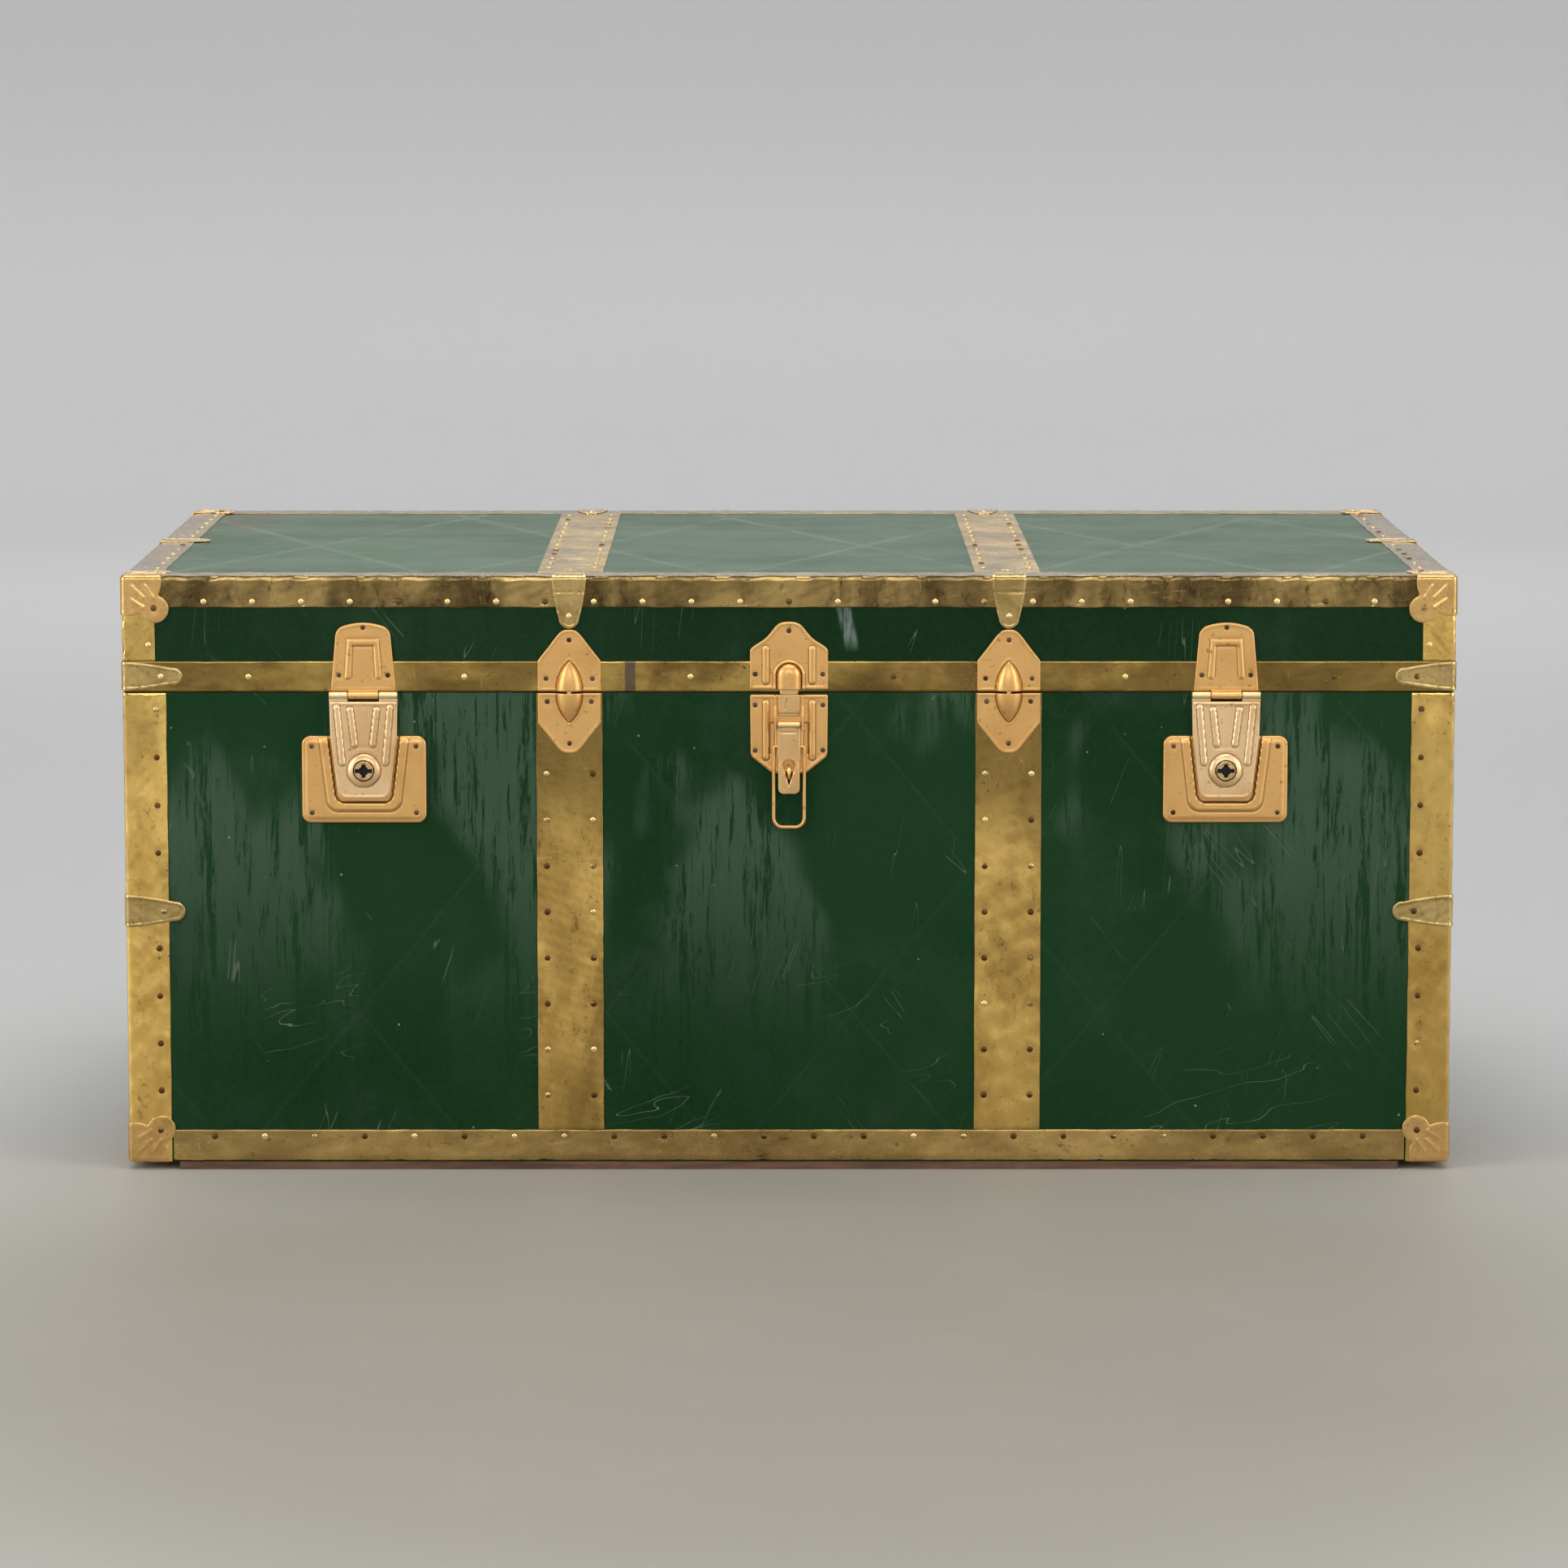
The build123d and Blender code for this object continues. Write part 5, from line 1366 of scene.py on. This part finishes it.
def front_piece(outline2, height, bounds, step, base=0.0, edge=0.9, drop=None, rings=4, x0=0.0):
    """Pressed plate on the front, from an outline and a height of x and z."""
    return pressed(lambda p: outline2(p[:, 0], p[:, 1]), lambda p: height(p[:, 0], p[:, 1]),
                   on_face("front", x0), bounds, step, base, edge, drop, rings)


def hasp_keeper():
    shape = shield(33.7, 421.4, 455.6, 480.6, BELL_STATIONS)
    spots = [(0, 472.4), (-29, 434.8), (29, 434.8)]

    def height(x, z):
        level = 2.3 + 0.32 * bell(shape(x, z) + 1.8, 1.0)
        for sign in (-1, 1):
            away = sd_segment(x, z, sign * 20.0, 428.5, sign * 20.0, 456.5)
            level = level + ridge(away, 2.6, 1.25) - 0.2 * bell(away - 3.3, 0.8)
        ring = np.abs(arch_distance(x, z, 12.2, 400.0, 445.4))
        level = level + ridge(ring, 1.6, 1.3)
        d = arch_distance(x, z, 10.4, 400.0, 443.9)
        hood = 2.6 + 5.5 * np.sqrt(np.clip(1 - (1 - np.clip(-d / 9.4, 0, 1)) ** 2, 0, 1))
        groove = -0.9 * bell(d - 0.2, 0.7)
        level = np.where(d < 0, np.maximum(level, hood), level + groove)
        return level + tack_dents(x, z, spots)

    return [front_piece(shape, height, (-33.7, 33.7, 421.4, 480.2), 0.62, ON_TRIM, 1.0)]


def hasp_base():
    def shape(x, z):
        side = np.abs(x) - 33.7 + np.clip((417 - z) / 60, 0, 1) * 0.6
        slant = (np.abs(x) - 33.2) * 0.62 + (363.5 - z) * 0.78
        return np.maximum.reduce([round_join(side, slant, 3.0), z - 417.0, 348.4 - z])

    spots = [(s * 29.2, z) for s in (-1, 1) for z in (408.0, 368.6)]

    def height(x, z):
        level = 2.1 + 0.30 * bell(shape(x, z) + 1.8, 1.0)
        for sign in (-1, 1):
            away = sd_segment(x, z, sign * 19.9, 362.5, sign * 19.9, 409.5)
            level = level + ridge(away, 2.6, 1.25) - 0.2 * bell(away - 3.3, 0.8)
            pocket = sd_box(x - sign * 14.4, z - 379, 2.5, 14.0, 0.8)
            level = level - 1.1 * smooth(-pocket, -0.5, 0.6)
        return level + tack_dents(x, z, spots)

    solids = [front_piece(shape, height, (-33.7, 33.7, 348.4, 417.0), 0.68, 0.0, 1.0)]
    for sign in (-1, 1):
        wall_x, lug_x = sign * 11.9, sign * 7.3

        def wall(x, z, middle=wall_x):
            return sd_box(x - middle, z - 401.5, 0.95, 15.3, 0.5)

        def lug(x, z, middle=lug_x):
            return sd_box(x - middle, z - 372.0, 2.3, 3.4, 0.8)

        solids.append(front_piece(wall, lambda x, z: 5.6 + 2.6 * smooth(-np.abs(z - 392.5), -16, -6) + 0 * x,
                                  (wall_x - 0.95, wall_x + 0.95, 386.2, 416.8), (0.35, 1.0), 2.25, 0.35,
                                  0.5, 3))
        solids.append(front_piece(lug, lambda x, z: 3.6 + ridge(z - 372, 3.6, 1.8),
                                  (lug_x - 2.3, lug_x + 2.3, 368.6, 375.4), 0.5, 1.9, 0.3, 0.4, 2))
    return solids


def hasp_hook():
    shape = lambda x, z: sd_box(x, z - 408.0, 9.6, 9.3, 1.2)
    nick = lambda x, z: sd_segment(x, z, -3.6, 405, -2.0, 413)

    def height(x, z):
        level = 3.4 + ridge(x, 10.2, 2.0)
        level = level - 0.35 * bell(nick(x, z), 0.6)
        return level - 0.5 * bell(z - 400.2, 1.0)

    tip = lambda x, z: sd_box(x, z - 420.8, 7.9, 3.5, 1.0)
    return [front_piece(shape, height, (-9.6, 9.6, 398.7, 417.3), 0.6, 2.4, 0.9, 1.2),
            front_piece(tip, lambda x, z: 5.2 + 0 * x, (-7.9, 7.9, 417.3, 424.3), 1.0, 2.6, 0.6, 0.6, 3)]


LEVER_Z, LEVER_OUT = 391.2, 6.6      # hinge line of the hasp's lever


def hasp_lever():
    drop_hole = lambda x, z: np.minimum(np.hypot(x, z - 355.6) - 5.0, sd_polygon(
        x, z, [(-4.9, 354.6), (0, 338.6), (4.9, 354.6)]))

    def arch_flat(x, z):
        swell = 9.8 - 0.5 * smooth(z, 372, 350)
        low = np.hypot(np.maximum(np.abs(x) - swell + 5.5, 0), np.maximum(336.8 - z - 0.012 * x * x, 0)) - 5.5
        return np.maximum.reduce([np.abs(x) - swell, low, z - 391.6])

    def shape(x, z):
        return np.maximum(arch_flat(x, z), -drop_hole(x, z))

    def height(x, z):
        level = 5.9 + ridge(x, 10.4, 2.1)
        d = drop_hole(x, z)
        level = level + 0.30 * bell(d - 1.7, 1.0) - 0.45 * smooth(d, 1.2, 0.2)
        level = level - 0.28 * bell(z - 384.8, 0.9) * smooth(np.abs(x), 7.5, 5.0)
        return np.minimum(level, 8.0)

    plate = front_piece(shape, height, (-9.8, 9.8, 331.0, 391.6), 0.5, 6.0, 0.55, 0.8, 3)
    roll = barrel(-9.7, 19.4, LEVER_OUT, LEVER_Z, 3.0, 0.6, 0.6, 28)
    return [plate, roll]


def dowel_hood(x, climb, reach, half, out):
    """Height of a pointed half-round hood that starts at climb = 0."""
    share = np.clip(climb / reach, 0, 1)
    width = half * (1 - share ** 1.9) ** 0.74 + 0.01
    across = np.clip(1 - (x / width) ** 2, 0, 1)
    return out * (1 - 0.80 * share ** 2.4) * across ** 0.62, np.abs(x) - width


def dowel_plate(x0, z_edge, z_shoulder, z_tip, reach, out, spots):
    level0 = 2.2
    up = 1 if z_tip > z_edge else -1
    shape = shield(27.2, z_edge, z_shoulder, z_tip, DOWEL_STATIONS)

    def height(x, z):
        climb = (z - z_edge) * up
        hood, beside = dowel_hood(x, climb, reach, 11.4, out)
        near_tip = np.hypot(x, np.maximum(climb - reach, 0))
        beside = np.where(climb > reach, near_tip, beside)
        level = level0 + 0.26 * bell(shape(x, z) + 1.6, 0.9)
        level = level + 0.25 * bell(beside - 1.7, 0.9)
        level = level - 0.30 * bell(beside, 0.8)
        level = np.maximum(level, level0 - 0.3 + np.where((beside < 0) & (climb < reach), hood, -1))
        return level + tack_dents(x, z, spots)

    low, high = min(z_edge, z_tip), max(z_edge, z_tip)
    return front_piece(shape, height, (-27.2, 27.2, low, high), 0.66, ON_TRIM, 0.8, 1.0, 4, x0)


upper_dowels, lower_dowels = [], []
for x0 in (-STRAP_X, STRAP_X):
    upper_dowels.append(dowel_plate(x0, 420.0, 446.0, 473.4, 25.9, 6.2,
                                    [(0, 464.4), (-20, 431), (20, 431)]))
    lower_dowels.append(dowel_plate(x0, 418.4, 392.4, 365.8, 25.4, 6.0,
                                    [(-19, 411), (19, 411), (0, 374.6)]))
    lower_dowels.append(capped([(1.4, 0.0), (2.1, 0.6), (2.1, 11.0), (1.5, 13.4)],
                               (x0, FRONT - 4.4, 416.9), (0, 0, 1), 18))
piece("dowel_plates_lid", upper_dowels, look["lacquer"], "lid", "dowel_lacquer", ("dowels_upper",))
piece("dowel_plates_body", lower_dowels, look["lacquer"], "case", "dowel_lacquer", ("dowels_lower",))
piece("hasp_keeper_plate", hasp_keeper(), look["lacquer"], "lid", "lock_lacquer", ("hasp_keeper",))
piece("hasp_body_plate", hasp_base(), look["lacquer"], "case", "lock_lacquer", ("hasp_base",))
piece("hasp_hook_bar", hasp_hook(), look["hasp"], "case", "tongue_brass", ("hasp_hook",))
piece("hasp_lever_plate", hasp_lever(), look["hasp"], "lever", "tongue_brass", ("hasp_lever",))

# ---- CAD nodes that keep their shape -------------------------------------
kept = {
    "board": "front_board back_board left_end_board right_end_board bottom_board lid_top_board"
             " lid_front_rail lid_back_rail lid_left_rail lid_right_rail",
    "lip": "lip_frame",
    "runner": "bottom_runners",
    "paper": "body_lining lid_lining",
    "lacquer": "padlock_eye hasp_bail",
    "hinge": "hinge_leaves_body hinge_leaves_lid",
    "handle": "handle_plates handle_left handle_right",
    "steel": "lever_pin lock_pins hinge_pins stay_brackets_body stay_brackets_lid stay_lower_left"
             " stay_lower_right stay_upper_left stay_upper_right",
}
for key, nodes in kept.items():
    for node_name in nodes.split():
        paint_node(node_name, key)

# ---- studio --------------------------------------------------------------
M_FRONT = (FRONT - TRIM) * MM


def stage_paint(name, shadowed_floor_tone, wall_tone):
    """Floor painted dark round the object as a painted shadow, turning into a plain grey wall away from it;
    the wall is painted darker higher up as painted shade.
    """
    k = Look(name)
    x, y = k.axis("X"), k.axis("Y")

    def distance(behind):
        return k.calc("SQRT", k.plus(k.times(x, x), k.times(behind, behind)))

    k.colour = k.mix(k.span(k.noise(1.1, 3, 0.5), 0.3, 0.7), shadowed_floor_tone, shade(shadowed_floor_tone, 0.95))
    k.lay(shade(shadowed_floor_tone, 1.18), k.span(k.noise(6.0, 6, 0.72, 0.3), 0.50, 0.80, 0.0, 0.25))
    # Painted shadow: the floor stays dark near the case and turns lighter away from it, up to the wall tone.
    k.lay(shade(wall_tone, 0.76), k.span(distance(k.plus(y, 1.0)), 0.5, 1.5))
    k.lay(wall_tone, k.span(distance(y), 2.6, 6.6))
    # Painted shade: the wall is painted darker higher up.
    k.lay(shade(wall_tone, 0.78), k.span(k.axis("Z"), 0.25, 1.05))
    return k.finish(0.62)


def studio_bowl(floor_radius, bend, top):
    """Round floor that curves up into a wall on every side."""
    turns = 96
    profile = [(floor_radius * k / 6, 0.0) for k in range(1, 7)]
    profile += [(floor_radius + bend * math.sin(a), bend - bend * math.cos(a))
                for a in np.linspace(0, math.pi / 2, 20)[1:]]
    profile.append((floor_radius + bend, top))
    verts = [(0.0, 0.0, 0.0)]
    for r, z in profile:
        verts += [(r * math.cos(2 * math.pi * n / turns), r * math.sin(2 * math.pi * n / turns), z)
                  for n in range(turns)]
    faces = [(0, 1 + n, 1 + (n + 1) % turns) for n in range(turns)]
    for row in range(len(profile) - 1):
        low, high = 1 + row * turns, 1 + (row + 1) * turns
        faces += [(low + n, high + n, high + (n + 1) % turns, low + (n + 1) % turns) for n in range(turns)]
    mesh = bpy.data.meshes.new("studio_bowl")
    mesh.from_pydata(verts, [], faces)
    mesh.polygons.foreach_set("use_smooth", np.ones(len(faces), bool))
    mesh.materials.append(stage_paint("studio_grey", (0.345, 0.324, 0.275), (0.80, 0.80, 0.795)))
    obj = bpy.data.objects.new("studio_bowl", mesh)
    bpy.context.scene.collection.objects.link(obj)


def soft_light(name, place, target, size, power):
    data = bpy.data.lights.new(name, "AREA")
    data.shape = "RECTANGLE"
    data.size, data.size_y = size
    data.energy = power
    obj = bpy.data.objects.new(name, data)
    obj.location = place
    way = np.array(target, float) - np.array(place, float)
    yaw = math.atan2(way[0], -way[1])
    pitch = math.atan2(math.hypot(way[0], way[1]), -way[2])
    obj.rotation_euler = (-pitch, 0, yaw)
    obj.visible_camera = False
    bpy.context.scene.collection.objects.link(obj)


studio_bowl(6.0, 1.6, 6.0)
aim = (0, 0, 0.28)
soft_light("overhead", (0, -0.6, 3.3), (0, -0.1, 0.3), (3.4, 2.6), 62)
soft_light("left_bank", (-3.1, -2.3, 1.5), aim, (1.4, 2.4), 44)
soft_light("right_bank", (3.1, -2.3, 1.5), aim, (1.4, 2.4), 38)
soft_light("front_fill", (0, -5.6, 2.3), (0, 0, 0.3), (4.0, 1.8), 43)
soft_light("back_fill", (0, 5.2, 3.0), (0, 0, 0.3), (4.0, 1.4), 30)
for turn, way in enumerate(((0, 1), (1, 0), (0, -1), (-1, 0))):
    soft_light(f"wall_wash_{turn}", (3.4 * way[0], 3.4 * way[1], 4.6), (7.2 * way[0], 7.2 * way[1], 0.7),
               (4.0, 1.2), 92)

world = bpy.data.worlds.new("studio_air")
world.use_nodes = True
world.node_tree.nodes["Background"].inputs[0].default_value = (0.74, 0.76, 0.80, 1)
world.node_tree.nodes["Background"].inputs[1].default_value = 0.16
bpy.context.scene.world = world
bpy.context.scene.view_settings.view_transform = "Standard"
bpy.context.scene.view_settings.look = "None"

camera_data = bpy.data.cameras.new("camera")
camera_data.lens = 134.16    # lens, place and tilt come from the fit to the photo's perspective
camera_data.sensor_width = 36.0
camera_data.clip_end = 60.0
camera = bpy.data.objects.new("camera", camera_data)
camera.location = (-0.0113, M_FRONT - 5.006, 1.0058)
camera.rotation_euler = (math.radians(90 - 7.586), 0, math.radians(-0.08))
bpy.context.scene.collection.objects.link(camera)
bpy.context.scene.camera = camera
